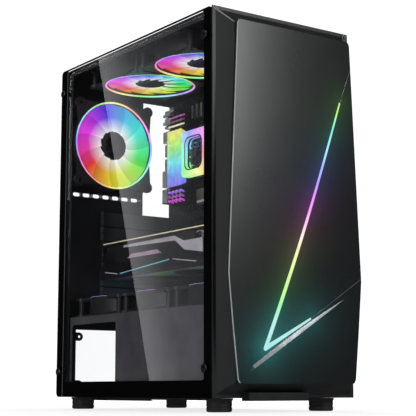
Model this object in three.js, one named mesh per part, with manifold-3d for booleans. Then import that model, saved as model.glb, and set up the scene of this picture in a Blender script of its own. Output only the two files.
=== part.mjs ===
import * as THREE from 'three';
import { mergeVertices } from 'three/addons/utils/BufferGeometryUtils.js';
import Module from 'manifold-3d';

// A glass-sided desktop computer tower, in millimetres, +Z up, front towards -Y, glass towards -X.
// Inside the group, x is measured from the body's middle plane, y from the body's front plane
// towards the rear, and z from the floor. The group then moves the whole tower onto its origin.

const wasm = await Module();
wasm.setup();

// Body
const HALF_WIDTH = 99;
const DEPTH = 346;
const BOTTOM = 15;
const TOP = 445;
const SHEET = 1;
const GAP = 0.3;
const CHASSIS_LEFT = -93;
const CHASSIS_RIGHT = HALF_WIDTH - SHEET - GAP;
const GLASS_THICK = 4;
const FLANGE = 20;
const LIP = 8;
const FLANGE_LOW = BOTTOM + SHEET + GAP;
const FLANGE_HIGH = TOP - SHEET - GAP;
const CORNER_RADIUS = 6;

// Glass screws, at the four corners of the glass
const SCREW_ROWS = [46.5, 413];
const SCREW_COLUMNS = [10, 336.5];
const SCREW_HEAD_RADIUS = 5.5;
const SCREW_HEAD_THICK = 3.7;
const SCREW_SHANK_RADIUS = 2.2;
const SCREW_HOLE_RADIUS = 2.8;

// Feet
const FOOT_RADIUS = 14;
const FOOT_COLUMNS = [-72, 72];
const FOOT_ROWS = [24, 323];

// Motherboard side
const TRAY_X = 81;
const BOARD_X = 73;
const BOARD_THICK = 1.6;
const BOARD = { rear: 343.5, depth: 244, top: 424, height: 305 };

// Expansion slots
const SLOT_PITCH = 20.32;
const SLOT_TOP = 251.6;
const SLOT_COUNT = 7;
const CARD_SLOTS = [2, 3];
const BRACKET_LEFT = -37;
const BRACKET_RIGHT = 72;
const BRACKET_HALF = 9.2;
const BRACKET_TAB = 8;

// Rear openings
const IO_OPENING = { x0: 29, x1: 73, z0: 262, z1: 420.75 };
const PSU_OPENING = { x0: -72, x1: 70, z0: 22, z1: 102 };

// Power supply shroud
const SHROUD_TOP = 116;
const SHROUD_LEFT = -90.5;
const SHROUD_WINDOW = { y0: 213, y1: 322, z0: 24, z1: 106 };

// Case fans
const FAN_SIZE = 120;
const FAN_THICK = 25;
const REAR_FAN = { x: -31.5, z: 349 };
const TOP_FAN_X = -17;
const TOP_FAN_ROWS = [254.7, 134.4];
const SHROUD_FAN_SIZE = 110;
const SHROUD_FAN_X = -25;
const SHROUD_FAN_ROWS = [281, 169, 57];
const FAN_FLANGE = 4;
const FAN_BLADES = 9;
const FAN_SIDES = 20;

// Memory and processor cooler
const RAM = { x0: 44, x1: 65.7, z0: 272, z1: 398, thick: 7, pitch: 9, first: 275.8, count: 4 };
const COOLER = { y0: 216, y1: 271.4, z0: 305, z1: 367, frameX0: 44, frameX1: 54, baseX: 70 };

// Graphics card, hanging below its circuit board
const CARD = { x0: -42, x1: 58, y0: 95, y1: 335, top: 215.2, board: 211, shroudTop: 210.5, bottom: 167 };
const CARD_FAN_ROWS = [160, 262];
const CARD_FAN_X = 8;
const CARD_FAN_RADIUS = 41;

// Front panel
const BEZEL_DEPTH = 18;
const BEZEL_RIM = 4;
const BEZEL_INSET = 18.4;
const BEZEL_WALL = 3.6;
const FASCIA_FRONT = -27;
const FASCIA_THICK = 6;
const FASCIA = { top: 427, widest: 147, bottom: 30, halfTop: 81.5, halfWidest: 94.5, halfBottom: 82.5 };
const LIGHT_TOP = [64.4, 351.6];
const LIGHT_CORNER = [-47, 67.5];
const LIGHT_END = [16.1, 101.4];
const LIGHT_HALF = { top: 1.3, corner: 3.2, end: 1.2 };

// Top controls
const POWER_BUTTON = { x: 68, y: 22, radius: 7 };
const RESET_BUTTON = { x: 48, y: 22, radius: 3.5 };
const BUTTON_CLEARANCE = 0.5;
const USB_PORTS = [-42, -18];
const AUDIO_PORTS = [0, 12];
const VENT = { x0: -79, x1: 45, pitch: 24, width: 17 };

// Bottom filter
const FILTER = { halfWidth: 50, y0: 195, y1: 340, z0: 12, z1: 14.7 };

// The tower's own origin is under the middle of its outer box, on the floor
const ORIGIN_SHIFT = [2, -162.75, 0];

// ---- solids

function toSolid(geometry) {
  const bare = geometry.clone();
  bare.deleteAttribute('normal');
  bare.deleteAttribute('uv');
  const merged = mergeVertices(bare, 1e-4);
  const mesh = new wasm.Mesh({
    numProp: 3,
    vertProperties: new Float32Array(merged.attributes.position.array),
    triVerts: new Uint32Array(merged.index.array),
  });
  return new wasm.Manifold(mesh);
}

function toGeometry(solid) {
  const mesh = solid.getMesh();
  const geometry = new THREE.BufferGeometry();
  geometry.setAttribute('position', new THREE.BufferAttribute(new Float32Array(mesh.vertProperties), 3));
  geometry.setIndex(new THREE.BufferAttribute(new Uint32Array(mesh.triVerts), 1));
  return geometry;
}

function join(...geometries) {
  return toGeometry(geometries.map(toSolid).reduce((whole, part) => whole.add(part)));
}

function cut(geometry, ...tools) {
  return toGeometry(tools.map(toSolid).reduce((whole, tool) => whole.subtract(tool), toSolid(geometry)));
}

// ---- basic shapes

function block(x0, x1, y0, y1, z0, z1) {
  const geometry = new THREE.BoxGeometry(x1 - x0, y1 - y0, z1 - z0);
  return geometry.translate((x0 + x1) / 2, (y0 + y1) / 2, (z0 + z1) / 2);
}

function rod(axis, radius, [u, v], from, to, sides = 20) {
  const geometry = new THREE.CylinderGeometry(radius, radius, to - from, sides);
  const middle = (from + to) / 2;
  if (axis === 'x') return geometry.rotateZ(-Math.PI / 2).translate(middle, u, v);
  if (axis === 'y') return geometry.translate(u, middle, v);
  return geometry.rotateX(Math.PI / 2).translate(u, v, middle);
}

function arc(u, v, radius, start, end, steps) {
  const points = [];
  for (let i = 0; i <= steps; i++) {
    const angle = start + (end - start) * i / steps;
    points.push(new THREE.Vector2(u + radius * Math.cos(angle), v + radius * Math.sin(angle)));
  }
  return points;
}

function circle(u, v, radius, sides = 24) {
  return arc(u, v, radius, 0, Math.PI * 2 * (sides - 1) / sides, sides - 1);
}

function rounded(u0, u1, v0, v1, radius, steps = 3) {
  const quarter = Math.PI / 2;
  return [
    ...arc(u1 - radius, v1 - radius, radius, 0, quarter, steps),
    ...arc(u0 + radius, v1 - radius, radius, quarter, 2 * quarter, steps),
    ...arc(u0 + radius, v0 + radius, radius, 2 * quarter, 3 * quarter, steps),
    ...arc(u1 - radius, v0 + radius, radius, 3 * quarter, 4 * quarter, steps),
  ];
}

function rectangle(u0, u1, v0, v1) {
  return [[u0, v0], [u1, v0], [u1, v1], [u0, v1]].map(([u, v]) => new THREE.Vector2(u, v));
}

// One sector of a ring, used as a vent
function sector(u, v, inner, outer, start, end, steps = 4) {
  return [...arc(u, v, outer, start, end, steps), ...arc(u, v, inner, end, start, steps)];
}

const ONTO_YZ = new THREE.Matrix4().makeBasis(
  new THREE.Vector3(0, 1, 0),
  new THREE.Vector3(0, 0, 1),
  new THREE.Vector3(1, 0, 0),
);

// A flat sheet in the plane xy, xz or yz, from one depth to another, with holes
function sheet(plane, outline, holes, from, to) {
  const shape = new THREE.Shape(outline);
  shape.holes = holes.map((points) => new THREE.Path(points));
  const geometry = new THREE.ExtrudeGeometry(shape, { depth: to - from, bevelEnabled: false });
  if (plane === 'xz') return geometry.rotateX(Math.PI / 2).translate(0, to, 0);
  if (plane === 'yz') return geometry.applyMatrix4(ONTO_YZ).translate(from, 0, 0);
  return geometry.translate(0, 0, from);
}

// Ring-shaped vents with four spokes, in front of a fan
function ringVents(u, v) {
  const holes = [];
  const halfSpoke = 2.2;
  for (const inner of [16, 30, 44]) {
    for (let quarter = 0; quarter < 4; quarter++) {
      const start = (quarter + 0.5) * Math.PI / 2;
      const margin = halfSpoke / inner;
      holes.push(sector(u, v, inner, inner + 12, start + margin, start + Math.PI / 2 - margin));
    }
  }
  return holes;
}

// ---- finishes

function finish(color, roughness, metalness = 0, extra = {}) {
  return new THREE.MeshStandardMaterial({ color, roughness, metalness, ...extra });
}

const blackSteel = () => finish(0x131416, 0.5, 0.3);
const blackPlastic = () => finish(0x0d0e10, 0.55);
const glossBlack = () => finish(0x08090a, 0.2);
const bareSteel = () => finish(0x9a9da1, 0.35, 1);
const rubber = () => finish(0x0b0b0c, 0.85);
const tintedGlass = () => finish(0x1a1c20, 0.05, 0, { transparent: true, opacity: 0.35 });
const litPlastic = (color) => finish(color, 0.4, 0, { emissive: color, emissiveIntensity: 0.6 });
const circuitBoard = () => finish(0x0e1413, 0.6);

const tower = new THREE.Group();

function piece(name, geometry, material, parent = tower) {
  const mesh = new THREE.Mesh(geometry, material);
  mesh.name = name;
  parent.add(mesh);
  return mesh;
}

// ---- steel chassis

function standoff(y, z, x0 = -HALF_WIDTH + GLASS_THICK + GAP) {
  return rod('x', 5, [y, z], x0, CHASSIS_LEFT + SHEET / 2, 12);
}

function standoffHole(y, z) {
  return rod('x', SCREW_HOLE_RADIUS, [y, z], -HALF_WIDTH, CHASSIS_LEFT + 2 * SHEET, 8);
}

function basePanel() {
  const vents = [];
  for (let y = 205; y < 325; y += VENT.pitch) {
    vents.push(rounded(-44, -3, y, y + VENT.width, 2, 1));
    vents.push(rounded(3, 44, y, y + VENT.width, 2, 1));
  }
  const y0 = SHEET + GAP;
  const y1 = DEPTH - SHEET - GAP;
  const plate = sheet('xy', rectangle(CHASSIS_LEFT, CHASSIS_RIGHT, y0, y1), vents, BOTTOM, BOTTOM + SHEET);
  const lip = block(CHASSIS_LEFT, CHASSIS_LEFT + SHEET, FLANGE + 1, DEPTH - FLANGE - 1, BOTTOM, BOTTOM + SHEET + LIP);
  const runners = [-1, 1].flatMap((side) => {
    const near = side * (FILTER.halfWidth + GAP);
    const far = side * (FILTER.halfWidth + 2);
    const under = side * (FILTER.halfWidth - 2);
    const wall = block(Math.min(near, far), Math.max(near, far), FILTER.y0, DEPTH - 3, 10.6, BOTTOM + SHEET / 2);
    const foot = block(Math.min(under, far), Math.max(under, far), FILTER.y0, DEPTH - 3, 10.6, 11.7);
    return [wall, foot];
  });
  return join(plate, lip, ...runners);
}

function rearPanel() {
  const io = IO_OPENING;
  const holes = [
    ...ringVents(REAR_FAN.x, REAR_FAN.z),
    rectangle(io.x0, io.x1, io.z0, io.z1),
  ];
  for (let i = 0; i < SLOT_COUNT; i++) {
    const z = SLOT_TOP - i * SLOT_PITCH;
    holes.push(rounded(BRACKET_LEFT + 6, BRACKET_RIGHT - 4, z - 6.5, z + 6.5, 2, 1));
  }
  for (let x = -80; x < 12; x += 15) holes.push(rounded(x, x + 10, 279, 284, 1.5, 1));
  for (const z of SCREW_ROWS) holes.push(circle(90, z, 2.6, 8));
  const plate = sheet('xz', rectangle(CHASSIS_LEFT, CHASSIS_RIGHT, BOTTOM, TOP), holes, DEPTH - SHEET, DEPTH);
  const left = CHASSIS_LEFT;
  const flange = block(left, left + SHEET, DEPTH - FLANGE, DEPTH - SHEET / 2, FLANGE_LOW, FLANGE_HIGH);
  const y = SCREW_COLUMNS[1];
  return cut(
    join(plate, flange, ...SCREW_ROWS.map((z) => standoff(y, z))),
    powerSupplyOpening(),
    ...SCREW_ROWS.map((z) => standoffHole(y, z)),
  );
}

// The opening behind the power supply keeps a screw lug in each corner
function powerSupplyOpening() {
  const o = PSU_OPENING;
  const whole = block(o.x0, o.x1, DEPTH - 2, DEPTH + 1, o.z0, o.z1);
  const lugs = [];
  const screws = [];
  for (const [x, toX] of [[o.x0, 1], [o.x1, -1]]) {
    for (const [z, toZ] of [[o.z0, 1], [o.z1, -1]]) {
      const centre = [x + toX * 5, z + toZ * 9];
      lugs.push(rod('y', 5.5, centre, DEPTH - 3, DEPTH + 2, 10));
      lugs.push(block(Math.min(x, centre[0]) - 1, Math.max(x, centre[0]) + 1, DEPTH - 3, DEPTH + 2,
        centre[1] - 5.5, centre[1] + 5.5));
      screws.push(rod('y', 2, centre, DEPTH - 2, DEPTH + 1, 6));
    }
  }
  return join(cut(whole, ...lugs), ...screws);
}

function motherboardTray() {
  const holes = [
    rounded(205, 300, 285, 385, 6, 2),
    rounded(60, 84, 290, 400, 10),
    rounded(60, 84, 140, 250, 10),
    rounded(110, 150, 428, 438, 4, 2),
    rounded(200, 240, 428, 438, 4, 2),
    rounded(120, 180, 40, 90, 10),
  ];
  const y0 = SHEET + GAP;
  const y1 = DEPTH - SHEET - GAP;
  const z0 = BOTTOM + SHEET + GAP;
  const z1 = TOP - SHEET - GAP;
  const plate = sheet('yz', rectangle(y0, y1, z0, z1), holes, TRAY_X, TRAY_X + SHEET);
  const posts = [];
  for (const y of [BOARD.rear - 8, BOARD.rear - 165, BOARD.rear - 236]) {
    for (const z of [BOARD.top - 6, BOARD.top - 163, BOARD.top - 290]) {
      posts.push(rod('x', 3, [y, z], BOARD_X + BOARD_THICK + GAP, TRAY_X + SHEET / 2, 6));
    }
  }
  return join(plate, ...posts);
}

function topPanel() {
  const holes = [
    circle(POWER_BUTTON.x, POWER_BUTTON.y, POWER_BUTTON.radius + BUTTON_CLEARANCE, 24),
    circle(RESET_BUTTON.x, RESET_BUTTON.y, RESET_BUTTON.radius + BUTTON_CLEARANCE, 16),
    ...USB_PORTS.map((x) => rounded(x - 7.5, x + 7.5, 18.2, 25.8, 1, 2)),
    ...AUDIO_PORTS.map((x) => circle(x, 22, 3, 12)),
  ];
  const middle = (VENT.x0 + VENT.x1) / 2;
  for (let y = 80; y < 312; y += VENT.pitch) {
    holes.push(rounded(VENT.x0, middle - 3, y, y + VENT.width, 2, 1));
    holes.push(rounded(middle + 3, VENT.x1, y, y + VENT.width, 2, 1));
  }
  const y0 = SHEET + GAP;
  const y1 = DEPTH - SHEET - GAP;
  const plate = sheet('xy', rectangle(CHASSIS_LEFT, CHASSIS_RIGHT, y0, y1), holes, TOP - SHEET, TOP);
  const left = CHASSIS_LEFT;
  const lip = block(left, left + SHEET, FLANGE + 1, DEPTH - FLANGE - 1, TOP - SHEET - LIP, TOP - SHEET / 2);
  return join(plate, lip);
}

function frontFrame() {
  const holes = [95, 225, 355].map((z) => circle(0, z, 54, 24));
  const plate = sheet('xz', rectangle(CHASSIS_LEFT, CHASSIS_RIGHT, BOTTOM, TOP), holes, 0, SHEET);
  const flange = block(CHASSIS_LEFT, CHASSIS_LEFT + SHEET, SHEET / 2, FLANGE, FLANGE_LOW, FLANGE_HIGH);
  const y = SCREW_COLUMNS[0];
  return cut(
    join(plate, flange, ...SCREW_ROWS.map((z) => standoff(y, z))),
    ...SCREW_ROWS.map((z) => standoffHole(y, z)),
  );
}

function powerSupplyShroud() {
  const w = SHROUD_WINDOW;
  const y0 = SHEET + 2 * GAP;
  const y1 = DEPTH - SHEET - 2 * GAP;
  const holes = SHROUD_FAN_ROWS.map((y) => circle(SHROUD_FAN_X, y, SHROUD_FAN_SIZE / 2 - 5));
  holes.push(rounded(40, 68, 70, 130, 8), rounded(40, 68, 200, 260, 8));
  const roof = sheet('xy', rectangle(SHROUD_LEFT, TRAY_X - GAP, y0, y1), holes, SHROUD_TOP - SHEET, SHROUD_TOP);
  const wall = sheet('yz', rectangle(y0, y1, BOTTOM + SHEET + GAP, SHROUD_TOP),
    [rounded(w.y0, w.y1, w.z0, w.z1, 3)], SHROUD_LEFT, SHROUD_LEFT + SHEET);
  return join(roof, wall);
}

function sideScrewHole(z) {
  return rod('y', 2.6, [90, z], DEPTH - 5, DEPTH + 5, 12);
}

function rightSidePanel() {
  const plate = sheet('yz', rectangle(0, DEPTH + GAP + SHEET, BOTTOM, TOP), [], HALF_WIDTH - SHEET, HALF_WIDTH);
  const y0 = DEPTH + GAP;
  const flange = block(HALF_WIDTH - 15, HALF_WIDTH - SHEET / 2, y0, y0 + SHEET, BOTTOM + 5, TOP - 5);
  return cut(join(plate, flange), ...SCREW_ROWS.map(sideScrewHole));
}

// ---- outer pieces

function foot() {
  const r = FOOT_RADIUS;
  const height = BOTTOM - GAP;
  const profile = [[0, 0], [r - 2.5, 0], [r, 2.5], [r, height - 2.5], [r + 1, height - 2], [r + 1, height],
    [0, height]].map(([radius, z]) => new THREE.Vector2(radius, z));
  return new THREE.LatheGeometry(profile, 16).rotateX(Math.PI / 2);
}

function glassPanel() {
  const holes = [];
  for (const y of SCREW_COLUMNS) {
    for (const z of SCREW_ROWS) holes.push(circle(y, z, SCREW_HOLE_RADIUS + 0.4, 12));
  }
  const outline = rounded(0, DEPTH, BOTTOM, TOP, CORNER_RADIUS, 5);
  return sheet('yz', outline, holes, -HALF_WIDTH, -HALF_WIDTH + GLASS_THICK);
}

// A flat round head with a knurled edge on a plain shank; the head lies towards -z
function thumbscrew(headRadius, headThick, shank) {
  const knurls = 12;
  const outline = [];
  for (let i = 0; i < knurls * 2; i++) {
    const angle = Math.PI * i / knurls;
    const radius = i % 2 ? headRadius : headRadius - 0.5;
    outline.push(new THREE.Vector2(radius * Math.cos(angle), radius * Math.sin(angle)));
  }
  const head = sheet('xy', outline, [], -headThick, 0);
  const slot = block(-headRadius, headRadius, -0.6, 0.6, -headThick - 1, -headThick + 1);
  return cut(join(head, rod('z', SCREW_SHANK_RADIUS, [0, 0], -1, shank, 12)), slot);
}

function topFilter() {
  const outline = rounded(-85, 55, 60, 330, 4);
  const rim = sheet('xy', outline, [rounded(-80, 50, 65, 325, 2)], TOP + GAP, TOP + 2);
  return join(rim, block(-81, 51, 64, 326, TOP + GAP, TOP + 1.1));
}

function bottomFilter() {
  const f = FILTER;
  const outline = rectangle(-f.halfWidth, f.halfWidth, f.y0, f.y1);
  const inner = rectangle(-f.halfWidth + 6, f.halfWidth - 6, f.y0 + 6, f.y1 - 6);
  const rim = sheet('xy', outline, [inner], f.z0, f.z1);
  const net = block(-f.halfWidth + 5, f.halfWidth - 5, f.y0 + 5, f.y1 - 5, f.z0 + 1, f.z0 + 1.8);
  return join(rim, net, block(-12, 12, f.y1 - 1, f.y1 + 5, f.z0, f.z1));
}

// ---- front panel

function taperedBox(half0, z0, z1, y0, half1, z2, z3, y1) {
  const geometry = new THREE.BoxGeometry(2, 2, 2);
  const position = geometry.attributes.position;
  for (let i = 0; i < position.count; i++) {
    const front = position.getY(i) < 0;
    const x = position.getX(i) * (front ? half1 : half0);
    const high = position.getZ(i) > 0;
    position.setXYZ(i, x, front ? y1 : y0, front ? (high ? z3 : z2) : (high ? z1 : z0));
  }
  return geometry;
}

// A picture frame whose sides slope forwards and inwards, with a dust mesh across its mouth
function frontBezel() {
  const rim = HALF_WIDTH - BEZEL_RIM;
  const half = HALF_WIDTH - BEZEL_INSET;
  const low = BOTTOM + BEZEL_INSET - 2;
  const high = TOP - BEZEL_INSET - 2;
  const w = BEZEL_WALL;
  const base = block(-HALF_WIDTH, HALF_WIDTH, -2, -GAP, BOTTOM, TOP);
  const slope = taperedBox(rim, BOTTOM + BEZEL_RIM, TOP - BEZEL_RIM, -1.9, half, low, high, -BEZEL_DEPTH);
  const hollow = taperedBox(rim - w, BOTTOM + BEZEL_RIM + w, TOP - BEZEL_RIM - w, 1,
    half - w, low + w, high - w, -BEZEL_DEPTH + w);
  const mouth = block(-half + w, half - w, -BEZEL_DEPTH - 1, 1, low + w, high - w);
  const pull = block(-60, 22, -14, -1, BOTTOM - 3, BOTTOM + 6);
  const frame = cut(join(base, slope, pull), hollow, mouth);
  const reach = half - w + 1;
  return join(frame, block(-reach, reach, -16, -14.5, low + w - 1, high - w + 1));
}

function fasciaOutline() {
  const f = FASCIA;
  const rise = (f.halfWidest - f.halfBottom) / (f.widest - f.bottom);
  const r = 5;
  const right = [
    [f.halfBottom - r, f.bottom],
    [f.halfBottom - r * 0.29, f.bottom + r * 0.29],
    [f.halfBottom + r * rise, f.bottom + r],
    [f.halfWidest - 1, f.widest - 12],
    [f.halfWidest - 0.2, f.widest],
    [f.halfWidest - 0.8, f.widest + 14],
    [f.halfTop + 0.3, f.top - r],
    [f.halfTop - r * 0.29, f.top - r * 0.29],
    [f.halfTop - r, f.top],
  ];
  const left = right.map(([x, z]) => [-x, z]).reverse();
  return [...right, ...left].map(([x, z]) => new THREE.Vector2(x, z));
}

// The light guide's two tapering limbs, as one outline grown by a margin all round
function lightOutline(margin) {
  const top = new THREE.Vector2(...LIGHT_TOP);
  const corner = new THREE.Vector2(...LIGHT_CORNER);
  const end = new THREE.Vector2(...LIGHT_END);
  const up = top.clone().sub(corner).normalize();
  const along = end.clone().sub(corner).normalize();
  const upSide = new THREE.Vector2(-up.y, up.x);
  const alongSide = new THREE.Vector2(-along.y, along.x);
  const mitre = up.clone().add(along).normalize();
  const reach = (LIGHT_HALF.corner + margin) / Math.sin(up.angleTo(along) / 2);
  const at = (point, direction, distance) => point.clone().addScaledVector(direction, distance);
  const tip = at(top, up, margin);
  const tail = at(end, along, margin);
  return [
    at(corner, mitre, -reach),
    at(tail, alongSide, -LIGHT_HALF.end - margin),
    at(tail, alongSide, LIGHT_HALF.end + margin),
    at(corner, mitre, reach),
    at(tip, upSide, -LIGHT_HALF.top - margin),
    at(tip, upSide, LIGHT_HALF.top + margin),
  ];
}

function frontFascia() {
  const back = FASCIA_FRONT + FASCIA_THICK;
  const plate = sheet('xz', fasciaOutline(), [lightOutline(GAP)], FASCIA_FRONT, back);
  const posts = [];
  for (const x of [-78.8, 78.8]) {
    for (const z of [70, 230, 390]) posts.push(rod('y', 1.7, [x, z], back - 1, -BEZEL_DEPTH - GAP, 10));
  }
  return join(plate, ...posts);
}

function lightGuide() {
  return sheet('xz', lightOutline(0), [], FASCIA_FRONT, FASCIA_FRONT + FASCIA_THICK);
}

// ---- fans, each about its own axis z, with the open face towards +z

function fanFrame(size) {
  const half = size / 2;
  const bore = half - 2;
  const back = -FAN_THICK / 2;
  const inset = half - 7.5;
  const corners = [[-inset, -inset], [inset, -inset], [inset, inset], [-inset, inset]];
  const square = rounded(-half, half, -half, half, 4, 1);
  const screws = corners.map(([x, y]) => circle(x, y, 2.2, 6));
  const mouth = circle(0, 0, bore, FAN_SIDES);
  const open = sheet('xy', square, [mouth, ...screws], -back - FAN_FLANGE, -back);
  const closed = sheet('xy', square, [mouth], back, back + FAN_FLANGE);
  const duct = sheet('xy', circle(0, 0, half - 0.5, FAN_SIDES), [mouth], back + 1, -back - 1);
  const posts = corners.map((corner) => rod('z', 4.5, corner, back + FAN_FLANGE - 0.5, -back - FAN_FLANGE + 0.5, 6));
  const arms = [0, 1].map((i) => (
    block(-half + 1, half - 1, -1.6, 1.6, back, back + 3).rotateZ(Math.PI / 4 + i * Math.PI / 2)
  ));
  const cup = rod('z', size * 0.155, [0, 0], back, back + 3, 16);
  return join(open, closed, duct, ...posts, ...arms, cup);
}

function fanRotor(tip, hub, height, blades, chord, pitch) {
  const reach = Math.sqrt(tip ** 2 - (chord * Math.cos(pitch) / 2) ** 2);
  const body = rod('z', hub, [0, 0], -height / 2, height / 2, 16);
  const vanes = [];
  for (let i = 0; i < blades; i++) {
    const vane = block(hub - 2, reach, -chord / 2, chord / 2, -0.6, 0.6);
    vanes.push(vane.rotateX(-pitch).rotateZ(i * 2 * Math.PI / blades));
  }
  return join(body, ...vanes);
}

function caseFan(name, size, position, tilt) {
  const group = new THREE.Group();
  group.position.set(...position);
  group.rotation.x = tilt;
  tower.add(group);
  const bore = size / 2 - 2;
  piece(`${name}_frame`, fanFrame(size), blackPlastic(), group);
  piece(`${name}_rotor`, fanRotor(bore - 1.2, size * 0.165, 18, FAN_BLADES, 27, 0.62), litPlastic(0x8fd0e8), group);
}

// ---- electronics

function motherboard() {
  const b = BOARD;
  const y0 = b.rear - b.depth;
  const parts = [block(BOARD_X, BOARD_X + BOARD_THICK, y0, b.rear, b.top - b.height, b.top)];
  const mount = (height, ya, yb, za, zb) => parts.push(block(BOARD_X - height, BOARD_X + 0.8, ya, yb, za, zb));
  for (let i = 0; i < RAM.count; i++) {
    const y = RAM.first + i * RAM.pitch;
    mount(7, y - 3.6, y + 3.6, RAM.z0 - 4, RAM.z1 + 4);
  }
  mount(2.6, 222, 266, 314, 358);
  mount(22, 200, 262, 386, 404);
  mount(18, 312, 336, 385, 412);
  mount(12, 328, 343, 366, 382);
  mount(9, 328, 343, 347, 364);
  mount(9, 328, 343, 328, 344);
  mount(13, 328, 343, 303, 326);
  mount(13, 328, 343, 280, 300);
  mount(13, 138, 158, 410, 421);
  mount(10, 101, 110, 300, 352);
  for (const slot of [0, 2, 4, 6]) {
    const z = SLOT_TOP - slot * SLOT_PITCH + 4;
    mount(slot === 2 ? 6 : 10, 190, 280, z - 3.5, z + 3.5);
  }
  mount(6, 112, 152, 178, 218);
  mount(8, 101, 108, 180, 226);
  mount(11, 230, 262, 268, 290);
  mount(5, 285, 305, 240, 258);
  for (const z of [280, 284]) mount(8, 180, 210, z + 6 * (z - 280) - 4, z + 6 * (z - 280) + 6);
  return join(...parts);
}

function ramModule() {
  const r = RAM;
  const half = r.thick / 2;
  const body = block(r.x0, r.x1, -half, half, r.z0, r.z1);
  const notches = [];
  for (const side of [-1, 1]) {
    const inner = side * 1.6;
    const outer = side * (half + 1);
    for (const [za, zb] of [[r.z0 + 22, r.z0 + 52], [r.z1 - 52, r.z1 - 22]]) {
      notches.push(block(r.x0 - 1, r.x0 + 8, Math.min(inner, outer), Math.max(inner, outer), za, zb));
    }
  }
  return cut(body, ...notches);
}

function cpuHeatsink() {
  const c = COOLER;
  const body = block(c.frameX1 + GAP, c.baseX, c.y0 + 2, c.y1 - 2, c.z0 + 2, c.z1 - 2);
  const slots = [];
  for (let z = c.z0 + 6; z < c.z1 - 6; z += 6) {
    slots.push(block(c.frameX1 - 1, c.baseX - 4, c.y0, c.y1, z, z + 3.5));
  }
  return cut(body, ...slots);
}

function cpuCoolerFrame() {
  const c = COOLER;
  const inner = rounded(c.y0 + 9, c.y1 - 9, c.z0 + 10, c.z1 - 10, 7, 4);
  const ring = sheet('yz', rounded(c.y0, c.y1, c.z0, c.z1, 5), [inner], c.frameX0, c.frameX1);
  const y = (c.y0 + c.y1) / 2;
  const z = (c.z0 + c.z1) / 2;
  const bar = block(c.frameX1 - 1.5, c.frameX1, c.y0 + 4, c.y1 - 4, z - 1.5, z + 1.5);
  return join(ring, bar, rod('x', 8, [y, z], c.frameX1 - 1.5, c.frameX1, 20));
}

function cardBoard() {
  const c = CARD;
  const fingers = block(c.x1 - 1, BOARD_X - 6 - GAP, 195, 278, c.board, c.board + 1.6);
  return join(block(c.x0 + 8, c.x1, c.y0 + 3, c.y1 + 7, c.board, c.board + 1.6), fingers);
}

function cardHeatsink() {
  const c = CARD;
  const body = block(c.x0 + 6, c.x1 - 5, c.y0 + 7, c.y1 - 6, 185, c.board - GAP);
  const slots = [];
  for (let y = c.y0 + 14; y < c.y1 - 14; y += 9) {
    slots.push(block(c.x0, c.x1, y, y + 5, 184, c.board - 5));
  }
  return cut(body, ...slots);
}

function cardShroud() {
  const c = CARD;
  const wall = 2.5;
  const shell = block(c.x0, c.x1, c.y0, c.y1, c.bottom, c.shroudTop);
  const inside = block(c.x0 + wall, c.x1 - wall, c.y0 + wall, c.y1 - wall, c.bottom + wall, c.shroudTop + 1);
  const mouths = CARD_FAN_ROWS.map((y) => (
    rod('z', CARD_FAN_RADIUS, [CARD_FAN_X, y], c.bottom - 1, c.bottom + wall + 1, 36)
  ));
  const frontEnd = block(-100, 100, -30, 0, -40, 40).rotateX(-0.6).translate(0, c.y0, c.bottom + 8);
  const rearEnd = block(-100, 100, 0, 30, -40, 40).rotateX(0.5).translate(0, c.y1, c.bottom + 10);
  return cut(shell, inside, ...mouths, frontEnd, rearEnd);
}

function cardBackplate() {
  const c = CARD;
  const holes = [rounded(c.x0 + 20, c.x1 - 25, c.y0 + 15, c.y0 + 70, 4)];
  const plate = rectangle(c.x0, c.x1 - 4, c.y0, c.y1 + 1);
  return sheet('xy', plate, holes, c.top - 1.6, c.top);
}

function bracket(slots) {
  const top = SLOT_TOP - slots[0] * SLOT_PITCH + BRACKET_HALF;
  const bottom = SLOT_TOP - slots[slots.length - 1] * SLOT_PITCH - BRACKET_HALF;
  const y1 = DEPTH - SHEET - GAP;
  const holes = [];
  if (slots.length > 1) {
    for (const slot of slots) {
      const z = SLOT_TOP - slot * SLOT_PITCH;
      holes.push(rounded(10, 24, z - 4, z + 4, 1.5, 2), rounded(34, 54, z - 3.5, z + 3.5, 1, 2));
    }
  }
  const plate = sheet('xz', rectangle(BRACKET_LEFT, BRACKET_RIGHT, bottom, top), holes, y1 - 0.8, y1);
  const tab = block(BRACKET_LEFT - 0.8, BRACKET_LEFT + 0.2, y1 - BRACKET_TAB, y1, bottom, top);
  const notches = slots.map((slot) => (
    rod('x', 2.5, [y1 - BRACKET_TAB, SLOT_TOP - slot * SLOT_PITCH], BRACKET_LEFT - 2, BRACKET_LEFT + 2, 8)
  ));
  return cut(join(plate, tab), ...notches);
}

function frontPorts() {
  const top = TOP - SHEET - GAP;
  const parts = [block(-60, 79, 10, 34, 426, 437)];
  for (const x of USB_PORTS) parts.push(block(x - 9, x + 9, 15, 29, 436, top));
  parts.push(block(-6, 18, 15, 29, 436, top));
  const sockets = USB_PORTS.map((x) => block(x - 6.6, x + 6.6, 19, 25, 432, top + 1));
  const jacks = AUDIO_PORTS.map((x) => rod('z', 1.8, [x, 22], 432, top + 1, 12));
  return cut(join(...parts), ...sockets, ...jacks);
}

function button({ x, y, radius }) {
  const top = TOP + 1.3;
  const flangeTop = TOP - SHEET - GAP;
  const stem = rod('z', radius, [x, y], TOP - 4.5, top, 20);
  return join(stem, rod('z', radius + 1.6, [x, y], TOP - 4.5, flangeTop - 1, 20));
}

function driveCage() {
  const z0 = BOTTOM + SHEET + GAP;
  const floor = block(-54, 54, 15, 160, z0, z0 + SHEET);
  const walls = [-54, 53].map((x) => (
    sheet('yz', rectangle(15, 160, z0 + SHEET / 2, 92), [rounded(35, 140, 55, 85, 5)], x, x + SHEET)
  ));
  return join(floor, ...walls);
}

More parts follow.
